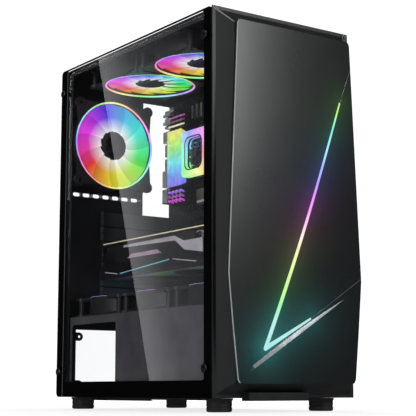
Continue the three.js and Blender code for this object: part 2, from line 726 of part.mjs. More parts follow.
function hardDrive() {
  const body = block(-50.8, 50.8, 12, 159, 22, 48);
  const recess = rod('z', 30, [0, 105], 47, 49, 32);
  return cut(body, recess);
}

// ---- assembly

piece('base_panel', basePanel(), blackSteel());
piece('rear_panel', rearPanel(), blackSteel());
piece('motherboard_tray', motherboardTray(), blackSteel());
piece('top_panel', topPanel(), blackSteel());
piece('front_frame', frontFrame(), blackSteel());
piece('psu_shroud', powerSupplyShroud(), blackSteel());
piece('right_side_panel', rightSidePanel(), blackSteel());

for (const [i, x] of FOOT_COLUMNS.entries()) {
  for (const [j, y] of FOOT_ROWS.entries()) {
    const mesh = piece(`foot_${['front', 'rear'][j]}_${['left', 'right'][i]}`, foot(), rubber());
    mesh.position.set(x, y, 0);
  }
}

piece('glass_panel', glassPanel(), tintedGlass());
for (const [i, y] of SCREW_COLUMNS.entries()) {
  for (const [j, z] of SCREW_ROWS.entries()) {
    const name = `glass_screw_${['front', 'rear'][i]}_${['lower', 'upper'][j]}`;
    const mesh = piece(name, thumbscrew(SCREW_HEAD_RADIUS, SCREW_HEAD_THICK, 8), bareSteel());
    mesh.rotation.y = Math.PI / 2;
    mesh.position.set(-HALF_WIDTH - GAP, y, z);
  }
}
for (const [j, z] of SCREW_ROWS.entries()) {
  const name = `side_screw_${['lower', 'upper'][j]}`;
  const mesh = piece(name, thumbscrew(6, 5, 8), blackSteel());
  mesh.rotation.x = Math.PI / 2;
  mesh.position.set(90, DEPTH + SHEET + 2 * GAP, z);
}

piece('front_bezel', frontBezel(), blackPlastic());
piece('front_fascia', frontFascia(), glossBlack());
piece('led_light_guide', lightGuide(), litPlastic(0x66ccff));

const rearFanY = DEPTH - SHEET - GAP - FAN_THICK / 2;
caseFan('rear_fan', FAN_SIZE, [REAR_FAN.x, rearFanY, REAR_FAN.z], Math.PI / 2);
for (const [i, y] of TOP_FAN_ROWS.entries()) {
  const z = TOP - SHEET - GAP - FAN_THICK / 2;
  caseFan(`top_fan_${['rear', 'front'][i]}`, FAN_SIZE, [TOP_FAN_X, y, z], Math.PI);
}
for (const [i, y] of SHROUD_FAN_ROWS.entries()) {
  const z = SHROUD_TOP + GAP + FAN_THICK / 2;
  caseFan(`shroud_fan_${['rear', 'middle', 'front'][i]}`, SHROUD_FAN_SIZE, [SHROUD_FAN_X, y, z], 0);
}

piece('motherboard', motherboard(), circuitBoard());
for (let i = 0; i < RAM.count; i++) {
  const mesh = piece(`ram_module_${i + 1}`, ramModule(), litPlastic(0xc8e070));
  mesh.position.y = RAM.first + i * RAM.pitch;
}
piece('cpu_heatsink', cpuHeatsink(), bareSteel());
piece('cpu_cooler_frame', cpuCoolerFrame(), litPlastic(0x9a7bf0));
const cpuRotor = piece('cpu_fan_rotor', fanRotor(17.4, 7, 6, 7, 9, 0.6), blackPlastic());
cpuRotor.rotation.y = -Math.PI / 2;
cpuRotor.position.set(48.6, (COOLER.y0 + COOLER.y1) / 2, (COOLER.z0 + COOLER.z1) / 2);

piece('card_board', cardBoard(), circuitBoard());
piece('card_heatsink', cardHeatsink(), bareSteel());
piece('card_shroud', cardShroud(), blackPlastic());
piece('card_backplate', cardBackplate(), blackSteel());
piece('card_bracket', bracket(CARD_SLOTS), bareSteel());
for (const [i, y] of CARD_FAN_ROWS.entries()) {
  const mesh = piece(`card_rotor_${['front', 'rear'][i]}`, fanRotor(39.5, 14, 11, 9, 16, 0.5), blackPlastic());
  mesh.rotation.x = Math.PI;
  mesh.position.set(CARD_FAN_X, y, 176.5);
}

for (let slot = 0; slot < SLOT_COUNT; slot++) {
  if (!CARD_SLOTS.includes(slot)) piece(`slot_cover_${slot + 1}`, bracket([slot]), blackSteel());
}

piece('power_button', button(POWER_BUTTON), glossBlack());
piece('reset_button', button(RESET_BUTTON), glossBlack());
piece('front_ports', frontPorts(), blackPlastic());
piece('top_filter', topFilter(), blackPlastic());
piece('bottom_filter', bottomFilter(), blackPlastic());
piece('drive_cage', driveCage(), blackSteel());
piece('hard_drive', hardDrive(), bareSteel());

tower.position.set(...ORIGIN_SHIFT);

export default tower;
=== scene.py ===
"""The looks of a glass-sided desktop computer tower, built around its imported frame."""

import math

import bmesh
import bpy
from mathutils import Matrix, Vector
from mathutils.geometry import tessellate_polygon


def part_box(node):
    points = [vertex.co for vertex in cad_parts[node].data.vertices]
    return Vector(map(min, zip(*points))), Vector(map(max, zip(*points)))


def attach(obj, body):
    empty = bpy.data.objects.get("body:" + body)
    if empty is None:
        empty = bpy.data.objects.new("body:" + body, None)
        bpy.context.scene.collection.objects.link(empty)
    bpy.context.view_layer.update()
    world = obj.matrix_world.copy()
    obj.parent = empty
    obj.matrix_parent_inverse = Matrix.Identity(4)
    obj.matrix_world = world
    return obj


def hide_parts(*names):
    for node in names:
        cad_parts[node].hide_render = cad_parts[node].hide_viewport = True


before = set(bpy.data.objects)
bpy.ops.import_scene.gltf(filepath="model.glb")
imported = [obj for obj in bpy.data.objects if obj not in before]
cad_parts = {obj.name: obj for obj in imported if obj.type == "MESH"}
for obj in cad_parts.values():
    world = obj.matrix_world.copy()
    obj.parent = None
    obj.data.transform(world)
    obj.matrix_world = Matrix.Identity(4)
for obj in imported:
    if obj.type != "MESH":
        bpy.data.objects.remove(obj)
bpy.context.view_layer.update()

# Lengths are millimetres in the body's own axes: x from its middle plane, y back from its front
# plane, z up from the floor. ORIGIN is where those axes start in the frame, in metres.
MM = 0.001
ORIGIN = Vector((
    (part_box("glass_panel")[0].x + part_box("right_side_panel")[1].x) / 2,
    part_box("glass_panel")[0].y,
    0,
))
BLACK = (0.0, 0.0, 0.0)
WHITE = (1.0, 1.0, 1.0)


def at(x, y, z):
    """A point in the body's axes as a point in the frame, in metres."""
    return ORIGIN + Vector((x, y, z)) * MM


def span(node):
    """The lowest and highest corner of a CAD node, in the body's axes."""
    low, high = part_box(node)
    return (low - ORIGIN) / MM, (high - ORIGIN) / MM


# ---- mesh code


def on_x(u, v, d):
    """Outline in the plane yz, depth along x."""
    return d, u, v


def on_y(u, v, d):
    """Outline in the plane xz, depth along y."""
    return u, d, v


def on_z(u, v, d):
    """Outline in the plane xy, depth along z."""
    return u, v, d


def loft(bm, loops, look=0, caps=True, around=False):
    """Joins loops of points, all of one length, with quads. around joins the last to the first."""
    rows = [[bm.verts.new(at(*point)) for point in loop] for loop in loops]
    pairs = list(zip(rows, rows[1:]))
    if around:
        pairs.append((rows[-1], rows[0]))
    faces = []
    for low, high in pairs:
        for i in range(len(low)):
            j = (i + 1) % len(low)
            faces.append(bm.faces.new((low[i], low[j], high[j], high[i])))
    if caps and not around:
        faces.append(bm.faces.new(rows[0][::-1]))
        faces.append(bm.faces.new(rows[-1]))
    for face in faces:
        face.material_index = look
    return rows


def block(bm, low, high, look=0):
    """A box between two corners."""
    corners = [(low[0], low[1]), (high[0], low[1]), (high[0], high[1]), (low[0], high[1])]
    loft(bm, [[(x, y, z) for x, y in corners] for z in (low[2], high[2])], look)


def plate(bm, place, outline, holes, near, far, look=0, far_look=None, rim_look=None):
    """A plate with holes. near and far are depths, or functions that give a depth at each point.

    Its far side and its rim wear the same look as its near side unless they are given another."""
    far_look = look if far_look is None else far_look
    rim_look = look if rim_look is None else rim_look
    paths = [outline, *holes]
    flat = [point for path in paths for point in path]
    triangles = tessellate_polygon([[Vector((u, v, 0)) for u, v in path] for path in paths])
    sides = []
    for depth, side_look in ((near, look), (far, far_look)):
        depths = [depth(u, v) if callable(depth) else depth for u, v in flat]
        verts = [bm.verts.new(at(*place(u, v, d))) for (u, v), d in zip(flat, depths)]
        for triangle in triangles:
            if len(set(triangle)) == 3:
                face = bm.faces.new([verts[i] for i in triangle])
                face.material_index = side_look
        sides.append(verts)
    start = 0
    for path in paths:
        for i in range(len(path)):
            a, b = start + i, start + (i + 1) % len(path)
            face = bm.faces.new((sides[0][a], sides[0][b], sides[1][b], sides[1][a]))
            face.material_index = rim_look
        start += len(path)


def arc(u, v, radius, start, end, steps):
    """Points on an arc, with its angles in degrees."""
    turns = [math.radians(start + (end - start) * i / steps) for i in range(steps + 1)]
    return [(u + radius * math.cos(t), v + radius * math.sin(t)) for t in turns]


def circle(u, v, radius, sides=48):
    """Points round a circle."""
    return arc(u, v, radius, 0, 360 * (sides - 1) / sides, sides - 1)


def rounded(u0, u1, v0, v1, radius, steps=6):
    """A rectangle with rounded corners."""
    return [
        *arc(u1 - radius, v1 - radius, radius, 0, 90, steps),
        *arc(u0 + radius, v1 - radius, radius, 90, 180, steps),
        *arc(u0 + radius, v0 + radius, radius, 180, 270, steps),
        *arc(u1 - radius, v0 + radius, radius, 270, 360, steps),
    ]


def turned(bm, place, profile, centre=(0, 0), look=0, sides=48, ring=False):
    """A turned solid: profile is (radius, depth) points. A ring's profile closes on itself."""
    loops = []
    for radius, depth in profile:
        loops.append([place(u, v, depth) for u, v in circle(*centre, radius, sides)])
    loft(bm, loops, look, caps=not ring, around=ring)


def moved(place, u0, v0, d0):
    """A place function about another centre."""
    return lambda u, v, d: place(u0 + u, v0 + v, d0 + d)


def new_piece(name, bm, looks, body, replaced=(), bevel=0.0, crease=32):
    """Turns mesh code into a piece that rides on a body."""
    bmesh.ops.recalc_face_normals(bm, faces=bm.faces)
    mesh = bpy.data.meshes.new(name)
    bm.to_mesh(mesh)
    bm.free()
    for look in looks:
        mesh.materials.append(look.material)
    piece = bpy.data.objects.new(name, mesh)
    bpy.context.scene.collection.objects.link(piece)
    finish_piece(piece, bevel, crease)
    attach(piece, body)
    if replaced:
        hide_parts(*replaced)
    return piece


def finish_piece(piece, bevel, crease=32):
    """Smooth shading with sharp creases, and small rounded edges."""
    mesh = piece.data
    mesh.polygons.foreach_set("use_smooth", [True] * len(mesh.polygons))
    mesh.set_sharp_from_angle(angle=math.radians(crease))
    if bevel:
        edges = piece.modifiers.new("edges", "BEVEL")
        edges.width = bevel * MM
        edges.segments = 2
        edges.limit_method = "ANGLE"
        edges.angle_limit = math.radians(crease + 6)
        edges.harden_normals = True


# ---- materials


class Look:
    """A procedural material, with short calls that add nodes to it."""

    def __init__(self, name, colour, rough=0.5, metal=0.0):
        self.material = bpy.data.materials.new(name)
        self.material.use_nodes = True
        self.tree = self.material.node_tree
        self.shader = self.tree.nodes["Principled BSDF"]
        self.set(self.shader, "Base Color", (*colour, 1))
        self.set(self.shader, "Roughness", rough)
        self.set(self.shader, "Metallic", metal)
        self.place = self.add("ShaderNodeTexCoord").outputs["Object"]

    def set(self, node, key, value):
        """Gives a node's input a value, or links another node's output to it."""
        if isinstance(value, bpy.types.NodeSocket):
            self.tree.links.new(value, node.inputs[key])
        else:
            node.inputs[key].default_value = value

    def add(self, kind, inputs=(), **settings):
        node = self.tree.nodes.new(kind)
        for key, value in settings.items():
            setattr(node, key, value)
        for key, value in dict(inputs).items():
            self.set(node, key, value)
        return node

    def math(self, operation, *values):
        inputs = enumerate(values)
        return self.add("ShaderNodeMath", inputs, operation=operation).outputs[0]

    def vector(self, operation, *values):
        node = self.add("ShaderNodeVectorMath", enumerate(values), operation=operation)
        single = operation in ("DOT_PRODUCT", "LENGTH")
        return node.outputs["Value" if single else "Vector"]

    def scaled(self, colour, factor):
        """A colour times a factor, either of them fixed or from a node."""
        return self.add(
            "ShaderNodeVectorMath", {0: colour, "Scale": factor}, operation="SCALE"
        ).outputs["Vector"]

    def from_centre(self, x, y, z):
        """The surface point measured from a point of the body's axes, in metres."""
        return self.vector("SUBTRACT", self.place, at(x, y, z))

    def axis(self, index, vector=None):
        split = self.add("ShaderNodeSeparateXYZ", {0: vector or self.place})
        return split.outputs[index]

    def noise(self, size, detail=2.0, stretch=WHITE):
        """Noise with features of about one size, in millimetres, drawn out by stretch."""
        where = self.vector("DIVIDE", self.place, stretch)
        inputs = {"Vector": where, "Scale": 1 / (size * MM), "Detail": detail}
        return self.add("ShaderNodeTexNoise", inputs).outputs["Fac"]

    def fade(self, value, low, high, first=0.0, last=1.0):
        """Maps low..high onto first..last, and stays level outside."""
        inputs = {0: value, 1: low, 2: high, 3: first, 4: last}
        return self.add("ShaderNodeMapRange", inputs).outputs[0]

    def ramp(self, value, stops):
        """A colour from (position, colour) stops."""
        node = self.add("ShaderNodeValToRGB", {0: value})
        marks = node.color_ramp.elements
        while len(marks) < len(stops):
            marks.new(1.0)
        for mark, (position, colour) in zip(marks, stops):
            mark.position = position
            mark.color = (*colour, 1)
        return node.outputs["Color"]

    def mix(self, share, first, second):
        """A colour between two others. A fixed colour has three numbers."""
        pair = [c if isinstance(c, bpy.types.NodeSocket) else (*c, 1) for c in (first, second)]
        node = self.add("ShaderNodeMix", {0: share, 6: pair[0], 7: pair[1]}, data_type="RGBA")
        return node.outputs[2]

    def relief(self, height, depth, edge=0.0):
        """Bumps the surface by a height of depth millimetres, over edges rounded to edge."""
        inputs = {"Height": height, "Distance": depth * MM, "Strength": 1.0}
        if edge:
            soft = self.add("ShaderNodeBevel", {"Radius": edge * MM}, samples=4)
            inputs["Normal"] = soft.outputs["Normal"]
        bump = self.add("ShaderNodeBump", inputs)
        self.set(self.shader, "Normal", bump.outputs["Normal"])

    def glow(self, colour, strength):
        fixed = not isinstance(colour, bpy.types.NodeSocket)
        self.set(self.shader, "Emission Color", (*colour, 1) if fixed else colour)
        self.set(self.shader, "Emission Strength", strength)


def grained(name, colour, rough, metal=0.0, grain=0.6, depth=0.02, tone=0.25, edge=0.4, patchy=0.04):
    """Sprayed or moulded grain, with slow changes of tone and gloss and softened edges."""
    look = Look(name, colour, rough, metal)
    slow = look.noise(35, 4)
    fine = look.noise(grain, 3)
    mottled = look.fade(look.math("ADD", slow, look.math("MULTIPLY", fine, 0.3)), 0.45, 0.85)
    shade = look.fade(mottled, 0, 1, 1 - tone, 1 + tone)
    look.set(look.shader, "Base Color", look.scaled(colour, shade))
    look.set(look.shader, "Roughness", look.fade(mottled, 0, 1, rough - patchy, rough + patchy))
    look.relief(fine, depth, edge)
    return look


def brushed(name, colour, rough, stretch, tone=0.2, edge=0.3):
    """Metal drawn or ground along one direction."""
    look = Look(name, colour, rough, 1.0)
    lines = look.noise(0.35, 3, stretch)
    slow = look.noise(18, 3)
    shade = look.fade(lines, 0.3, 0.7, 1 - tone, 1 + tone)
    look.set(look.shader, "Base Color", look.scaled(colour, shade))
    look.set(look.shader, "Roughness", look.fade(slow, 0.3, 0.7, rough - 0.08, rough + 0.1))
    look.relief(lines, 0.01, edge)
    return look


def wheel_colour(look, vector, turns, phase, full):
    """A colour wheel round the z axis of a vector: turns of hue in one turn, full at full colour."""
    where = look.add("ShaderNodeTexGradient", {0: vector}, gradient_type="RADIAL").outputs["Fac"]
    hue = look.math("FRACT", look.math("ADD", look.math("MULTIPLY", where, turns), phase + 4))
    return look.add("ShaderNodeCombineColor", {0: hue, 1: full, 2: 1.0}, mode="HSV").outputs[0]


def axes_from(look, centre, order):
    """The surface point about a centre, with its axes in another order so that z is the fan's."""
    split = look.add("ShaderNodeSeparateXYZ", {0: look.from_centre(*centre)})
    parts = [split.outputs["XYZ".index(letter)] for letter in order]
    return look.add("ShaderNodeCombineXYZ", dict(enumerate(parts))).outputs[0]


# ---- camera, light and floor

CAMERA_AT = (-830.7, -1031.08, 23.18)
CAMERA_TURN = 35.189
CAMERA_TILT = 8.742
CAMERA_LENS = 102.69
FLOOR_HALF = 9.0
AMBIENT = (0.022, 0.023, 0.025)


def link(name, data):
    """A new object in the scene."""
    thing = bpy.data.objects.new(name, data)
    bpy.context.scene.collection.objects.link(thing)
    return thing


def add_camera():
    data = bpy.data.cameras.new("camera")
    data.sensor_width = 36
    data.lens = CAMERA_LENS
    camera = link("camera", data)
    camera.location = at(*CAMERA_AT)
    camera.rotation_euler = (math.radians(90 + CAMERA_TILT), 0, -math.radians(CAMERA_TURN))
    bpy.context.scene.camera = camera


def add_world():
    """White where the camera looks past the tower, and a dim studio for everything else."""
    world = bpy.data.worlds.new("studio")
    world.use_nodes = True
    bpy.context.scene.world = world
    nodes, links = world.node_tree.nodes, world.node_tree.links
    dim = nodes["Background"]
    dim.inputs["Color"].default_value = (*AMBIENT, 1)
    white = nodes.new("ShaderNodeBackground")
    white.inputs["Strength"].default_value = 1.12
    white.inputs["Color"].default_value = (1, 1, 1, 1)
    path = nodes.new("ShaderNodeLightPath")
    either = nodes.new("ShaderNodeMixShader")
    links.new(path.outputs["Is Camera Ray"], either.inputs[0])
    links.new(dim.outputs[0], either.inputs[1])
    links.new(white.outputs[0], either.inputs[2])
    links.new(either.outputs[0], nodes["World Output"].inputs["Surface"])


def add_softbox(name, place, target, width, height, power, colour=WHITE):
    data = bpy.data.lights.new(name, "AREA")
    data.shape = "RECTANGLE"
    data.size = width
    data.size_y = height
    data.energy = power
    data.color = colour
    light = link(name, data)
    light.location = at(*place)
    light.rotation_euler = (at(*target) - at(*place)).to_track_quat("-Z", "Y").to_euler()
    return light


def add_floor():
    mesh = bpy.data.meshes.new("floor")
    h = FLOOR_HALF
    z = -0.0002
    mesh.from_pydata([(-h, -h, z), (h, -h, z), (h, h, z), (-h, h, z)], [], [(0, 1, 2, 3)])
    look = Look("floor_painted_shadow", (0.35, 0.35, 0.35), 0.9)
    look.set(look.shader, "Specular IOR Level", 0.0)
    # Painted shadow: the floor's own glow is dimmer near the tower and rises to full white over about a metre
    # round it
    away = look.vector("LENGTH", look.from_centre(0, 170, 0))
    look.glow(look.scaled(WHITE, look.fade(away, 0.2, 1.3, 0.78, 1.1)), 1.0)
    mesh.materials.append(look.material)
    floor = link("floor", mesh)
    floor.visible_glossy = False


def add_reflection_card():
    """A slanted pale card behind the tower on the glass side, seen only in reflections."""
    x, near = -830.7, 760
    top, bottom = 1150, -60
    edge_top, edge_bottom = 1621, 1243
    fades_over = 0.4
    mesh = bpy.data.meshes.new("reflected_card")
    corners = [(x, near, bottom), (x, edge_bottom, bottom), (x, edge_top, top), (x, near, top)]
    mesh.from_pydata([at(*c) for c in corners], [], [(0, 1, 2, 3)])
    look = Look("card_light", BLACK, 1.0)
    slope = (edge_top - edge_bottom) / (top - bottom)
    from_edge = look.math("SUBTRACT", look.axis(1), look.math("MULTIPLY", look.axis(2), slope))
    start = at(0, edge_bottom, 0).y
    share = look.fade(look.math("SUBTRACT", start, from_edge), 0.0, fades_over)
    fading = [(0, (0.95, 0.96, 1.0)), (0.3, (0.30, 0.31, 0.33)), (1, (0.03, 0.03, 0.035))]
    look.glow(look.ramp(share, fading), 1.45)
    mesh.materials.append(look.material)
    card = link("reflected_card", mesh)
    for rays in ("camera", "diffuse", "transmission", "shadow", "volume_scatter"):
        setattr(card, f"visible_{rays}", False)


def add_studio():
    add_world()
    add_floor()
    add_reflection_card()
    middle = (0, 150, 230)
    add_softbox("front_softbox", (560, -1500, 900), (-40, -27, 300), 0.3, 0.7, 13)
    add_softbox("top_softbox", (-200, -200, 1700), middle, 1.6, 1.6, 4)
    add_softbox("left_softbox", (-1900, -300, 700), middle, 0.8, 1.4, 10)
    add_softbox("back_softbox", (700, 1700, 1100), middle, 1.2, 1.2, 24)
    bpy.context.scene.view_settings.view_transform = "Standard"


# ---- looks of the CAD nodes that stay


def steel_look():
    return grained("black_powder_coat", (0.012, 0.0125, 0.014), 0.46, 0.0, grain=0.5, depth=0.004)


def dress(names, look):
    """Gives CAD nodes a look."""
    for name in names:
        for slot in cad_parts[name].material_slots:
            slot.material = look.material


def dress_frame():
    steel = steel_look()
    dress(["base_panel", "rear_panel", "motherboard_tray", "top_panel", "front_frame",
           "right_side_panel", "drive_cage"], steel)
    dress(["psu_shroud"], grained("shroud_coat", (0.11, 0.105, 0.12), 0.5, grain=0.5, depth=0.004))
    covers = [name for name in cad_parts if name.startswith("slot_cover")]
    dress(covers, grained("cover_coat", (0.08, 0.082, 0.085), 0.4, grain=0.5, depth=0.01))
    dress(["card_bracket"], brushed("bracket_steel", (0.35, 0.36, 0.38), 0.35, (1, 1, 14)))
    bezel = grained("bezel_plastic", (0.010, 0.0105, 0.0115), 0.42, grain=0.4, depth=0.012, edge=0.5)
    dress(["front_bezel"], bezel)
    dress(["card_shroud"], grained("card_plastic", (0.02, 0.021, 0.023), 0.38, grain=0.4, depth=0.01))
    dress(["card_heatsink", "cpu_heatsink"], brushed("fin_metal", (0.55, 0.56, 0.58), 0.35, (12, 1, 12)))
    dress(["hard_drive"], brushed("drive_casting", (0.5, 0.51, 0.52), 0.42, (1, 10, 1)))
    dress(["front_ports"], grained("port_plastic", (0.015, 0.015, 0.016), 0.45, grain=0.3, depth=0.01))
    dress(["bottom_filter", "top_filter"], net_look())
    dress(["card_board", "motherboard"], board_look())


def net_look():
    """Fine woven net: dark threads over darker gaps."""
    look = Look("filter_net", (0.03, 0.03, 0.032), 0.6)
    pitch = 1.1 * MM
    across = [look.math("PINGPONG", look.math("DIVIDE", look.axis(i), pitch), 1.0) for i in (0, 1)]
    gap = look.math("MULTIPLY", *[look.fade(a, 0.25, 0.45) for a in across])
    look.set(look.shader, "Base Color", look.mix(gap, (0.05, 0.05, 0.053), (0.004, 0.004, 0.004)))
    look.relief(look.math("SUBTRACT", 1.0, gap), 0.25)
    return look


def board_look():
    """Black solder mask with faint traces, pads and a slight gloss."""
    look = Look("solder_mask", (0.012, 0.015, 0.016), 0.38)
    pitch = 2.4 * MM
    where = look.vector("DIVIDE", look.place, (pitch, pitch, pitch))
    inputs = {"Vector": where, "Scale": 1.0}
    cells = look.add("ShaderNodeTexVoronoi", inputs, feature="DISTANCE_TO_EDGE").outputs["Distance"]
    traces = look.fade(cells, 0.03, 0.06, 1.0, 0.0)
    pads = look.fade(look.noise(2.0, 1), 0.68, 0.7)
    bare = look.mix(traces, (0.010, 0.013, 0.014), (0.022, 0.028, 0.029))
    look.set(look.shader, "Base Color", look.mix(pads, bare, (0.20, 0.19, 0.16)))
    look.relief(traces, 0.04, 0.3)
    return look


# ---- outer pieces

GLASS_CORNER = 6
SCREW_HOLE = 3.2
# Widths of the enamel border, and how far its fine grey line, a painted highlight of the chassis flange's
# edge, is from the rear edge
BORDER = {"front": 14.5, "rear": 17, "bottom": 19, "top": 2.5, "line": 16.2}
ENAMEL = (0.0015, 0.0015, 0.0018)
SCREW_KNURLS = 24
SCREW_SOCKET = 0.42
# Rings across a screw head's face: share of the head's radius, depth, and whether six-sided
HEAD_FACE = [(SCREW_SOCKET * 0.02, 1.7, True), (SCREW_SOCKET, 1.7, True), (SCREW_SOCKET, 0.5, True),
             (0.567, 0.25, False), (0.798, 0.0, False), (0.853, 0.0, False)]


def make_feet():
    """Rubber feet with a hollow sole, a groove round the middle and a flange under the base."""
    look = grained("foot_rubber", (0.014, 0.014, 0.015), 0.62, grain=0.8, depth=0.04)
    flange = 2
    groove = 0.5
    for name in [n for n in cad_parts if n.startswith("foot_")]:
        low, high = span(name)
        outer, top = (high.x - low.x) / 2, high.z
        wall = outer - 1
        sole = [(outer - 9, 1.2), (outer - 8, 0), (outer - 3.2, 0), (outer - 1.6, 0.5)]
        side = [(wall, 2), (wall, 5), (wall - groove, 5.3), (wall - groove, 6.3), (wall, 6.6)]
        rim = [(wall, top - flange - 0.6), (outer, top - flange), (outer, top)]
        bm = bmesh.new()
        turned(bm, on_z, sole + side + rim, ((low.x + high.x) / 2, (low.y + high.y) / 2))
        new_piece(f"soft_{name}", bm, [look], "chassis", [name])


def clear_glass_look(name, share):
    """Lightly tinted glass: what is behind shows through, under a share of mirror gloss."""
    look = Look(name, (0.8, 0.82, 0.84), 0.0)
    see = look.add("ShaderNodeBsdfTransparent", {"Color": (0.97, 0.975, 0.98, 1)})
    gloss = look.add("ShaderNodeBsdfGlossy", {"Color": (1, 1, 1, 1), "Roughness": 0.0})
    if share is None:
        share = look.add("ShaderNodeFresnel", {"IOR": 1.5}).outputs[0]
    both = look.add("ShaderNodeMixShader", {0: share, 1: see.outputs[0], 2: gloss.outputs[0]})
    output = look.tree.nodes["Material Output"]
    look.tree.links.new(both.outputs[0], output.inputs["Surface"])
    return look


def print_look(line_y):
    """Matt black enamel on the outside of the glass, with one fine grey line near the rear edge: a painted
    highlight of the chassis flange's edge.
    """
    look = Look("black_enamel", ENAMEL, 0.5)
    from_line = look.math("ABSOLUTE", look.math("SUBTRACT", look.axis(1), at(0, line_y, 0).y))
    # Painted highlight: a pale grey line in the enamel where the edge of the steel flange behind catches the
    # light
    flange_glint = look.fade(from_line, 0.5 * MM, 0.8 * MM, 1.0, 0.0)
    speck = look.fade(look.noise(1.5, 3), 0.3, 0.7, 0.8, 1.2)
    line = look.mix(flange_glint, ENAMEL, (0.10, 0.10, 0.105))
    look.set(look.shader, "Base Color", look.scaled(line, speck))
    look.set(look.shader, "Specular IOR Level", 0.02)
    return look


def screw_places():
    """Each screw's node, head radius and a place function with depth from the head's face."""
    found = []
    for name in [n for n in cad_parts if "_screw_" in n]:
        low, high = span(name)
        u, v, w = (low + high) / 2
        if name.startswith("glass"):
            place = moved(on_x, v, w, low.x)
            found.append((name, (high.y - low.y) / 2, high.x - low.x, place))
        else:
            found.append((name, (high.x - low.x) / 2, high.y - low.y,
                          lambda a, b, d, u=u, w=w, far=high.y: (u + a, far - d, w + b)))
    return found


def make_glass():
    low, high = span("glass_panel")
    outline = rounded(low.y, high.y, low.z, high.z, GLASS_CORNER, 8)
    holes = []
    for name in [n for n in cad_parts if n.startswith("glass_screw")]:
        near, far = span(name)
        holes.append(circle((near.y + far.y) / 2, (near.z + far.z) / 2, SCREW_HOLE, 32))
    window = rounded(low.y + BORDER["front"], high.y - BORDER["rear"], low.z + BORDER["bottom"],
                     high.z - BORDER["top"], 3)
    bm = bmesh.new()
    clear, printed, inside = 0, 1, 2
    plate(bm, on_x, outline, holes, low.x, high.x, clear, far_look=inside, rim_look=printed)
    plate(bm, on_x, outline, [window, *holes], low.x - 0.08, low.x - 0.02, printed)
    # The inner face has no Fresnel gloss: met from inside the pane, it would be a full mirror
    outer, inner = clear_glass_look("outer_glass", None), clear_glass_look("inner_glass", 0.02)
    looks = [outer, print_look(high.y - BORDER["line"]), inner]
    new_piece("tempered_pane", bm, looks, "glass", ["glass_panel"], crease=20)


def screw_ring(place, radius, depth, six_sided=False, knurl=0.0):
    """One ring of points round a screw: round, six-sided or knurled."""
    ring = []
    for i in range(SCREW_KNURLS * 2):
        turn = 2 * math.pi * i / (SCREW_KNURLS * 2)
        sixth = (turn + math.pi / 6) % (math.pi / 3) - math.pi / 6
        r = radius / math.cos(sixth) if six_sided else radius - knurl * (i % 2)
        ring.append(place(r * math.cos(turn), r * math.sin(turn), depth))
    return ring


def make_screws():
    """Thumb screws with a hex socket, a knurled rim and a plain shank."""
    dark = brushed("black_nickel", (0.10, 0.10, 0.105), 0.32, (8, 8, 8))
    knurl = 0.35
    shank = 2.2
    for name, radius, length, place in screw_places():
        glass = name.startswith("glass")
        thick = 3.7 if glass else 5.0
        loops = [screw_ring(place, share * radius, depth, six) for share, depth, six in HEAD_FACE]
        loops.append(screw_ring(place, radius - 0.1, 0.5, knurl=knurl))
        loops.append(screw_ring(place, radius - 0.1, thick - 0.5, knurl=knurl))
        for r, depth in [(radius - 0.5, thick), (shank, thick), (shank, length - 0.4), (shank - 0.4, length)]:
            loops.append(screw_ring(place, r, depth))
        bm = bmesh.new()
        loft(bm, loops)
        new_piece(f"turned_{name}", bm, [dark], name, [name], crease=28)


# ---- front panel

FASCIA_LOW, FASCIA_HIGH = span("front_fascia")
FASCIA_Y = FASCIA_LOW.y
FASCIA_BACK = span("led_light_guide")[1].y
FASCIA_HALF = FASCIA_HIGH.x
FASCIA_CROWN = 2.2
FASCIA_EDGE = 0.9
BEZEL_MOUTH = 18.4
BEZEL_RIM = 4
# Half width of the fascia at each height: its widest is 117 mm above its lower edge
FASCIA_SIDE = [(30, 77.5), (31.4, 81), (35, 83), (88, 88.8), (135, 93.4), (147, 94.3), (161, 93.7),
               (290, 87.8), (422, 81.8), (425.6, 80), (427, 76.5)]
LIGHT_TOP = Vector((64.4, 351.6))
LIGHT_CORNER = Vector((-47, 67.5))
LIGHT_END = Vector((16.1, 101.4))
LIGHT_HALF = {"top": 1.0, "corner": 2.4, "end": 0.9}
LIGHT_BOW = 3.0
LIGHT_STEPS = 12
SEAMS = [((65.2, 353.5), (81.5, 393.0)), ((17.5, 102.2), (92.6, 148.8))]
POCKET_TIP = Vector((-67.4, 42.4))
POCKET_END = Vector((65.5, 124.3))
POCKET_LEFT = Vector((-69.2, 66.4))
# Along the pocket: share of its length, width of its bright slope, whole width, depth
POCKET_SHAPE = [(0.2, 4.0, 7.3, 2.2), (0.35, 4.4, 6.9, 1.9), (0.5, 4.4, 5.9, 1.6),
                (0.65, 3.7, 5.0, 1.2), (0.8, 2.6, 3.4, 0.8), (1.0, 0.1, 0.2, 0.02)]
POST_RADIUS = 1.7


def fascia_front(x):
    """How far forward the crowned fascia reaches at x."""
    return FASCIA_Y + FASCIA_CROWN * (x / FASCIA_HALF) ** 2


def fascia_half(z):
    """Half the fascia's width at height z."""
    for (z0, h0), (z1, h1) in zip(FASCIA_SIDE, FASCIA_SIDE[1:]):
        if z <= z1:
            return h0 + (h1 - h0) * (z - z0) / (z1 - z0)
    return FASCIA_SIDE[-1][1]


def bowed(start, end, bow, half0, half1, steps):
    """The two edges of a limb that tapers from half0 to half1 and bows to its right."""
    along = (end - start).normalized()
    side = Vector((along.y, -along.x))
    right, left = [], []
    for i in range(steps + 1):
        t = i / steps
        middle = start.lerp(end, t) + side * bow * math.sin(math.pi * t)
        half = half0 + (half1 - half0) * t
        right.append(tuple(middle + side * half))
        left.append(tuple(middle - side * half))
    return right, left


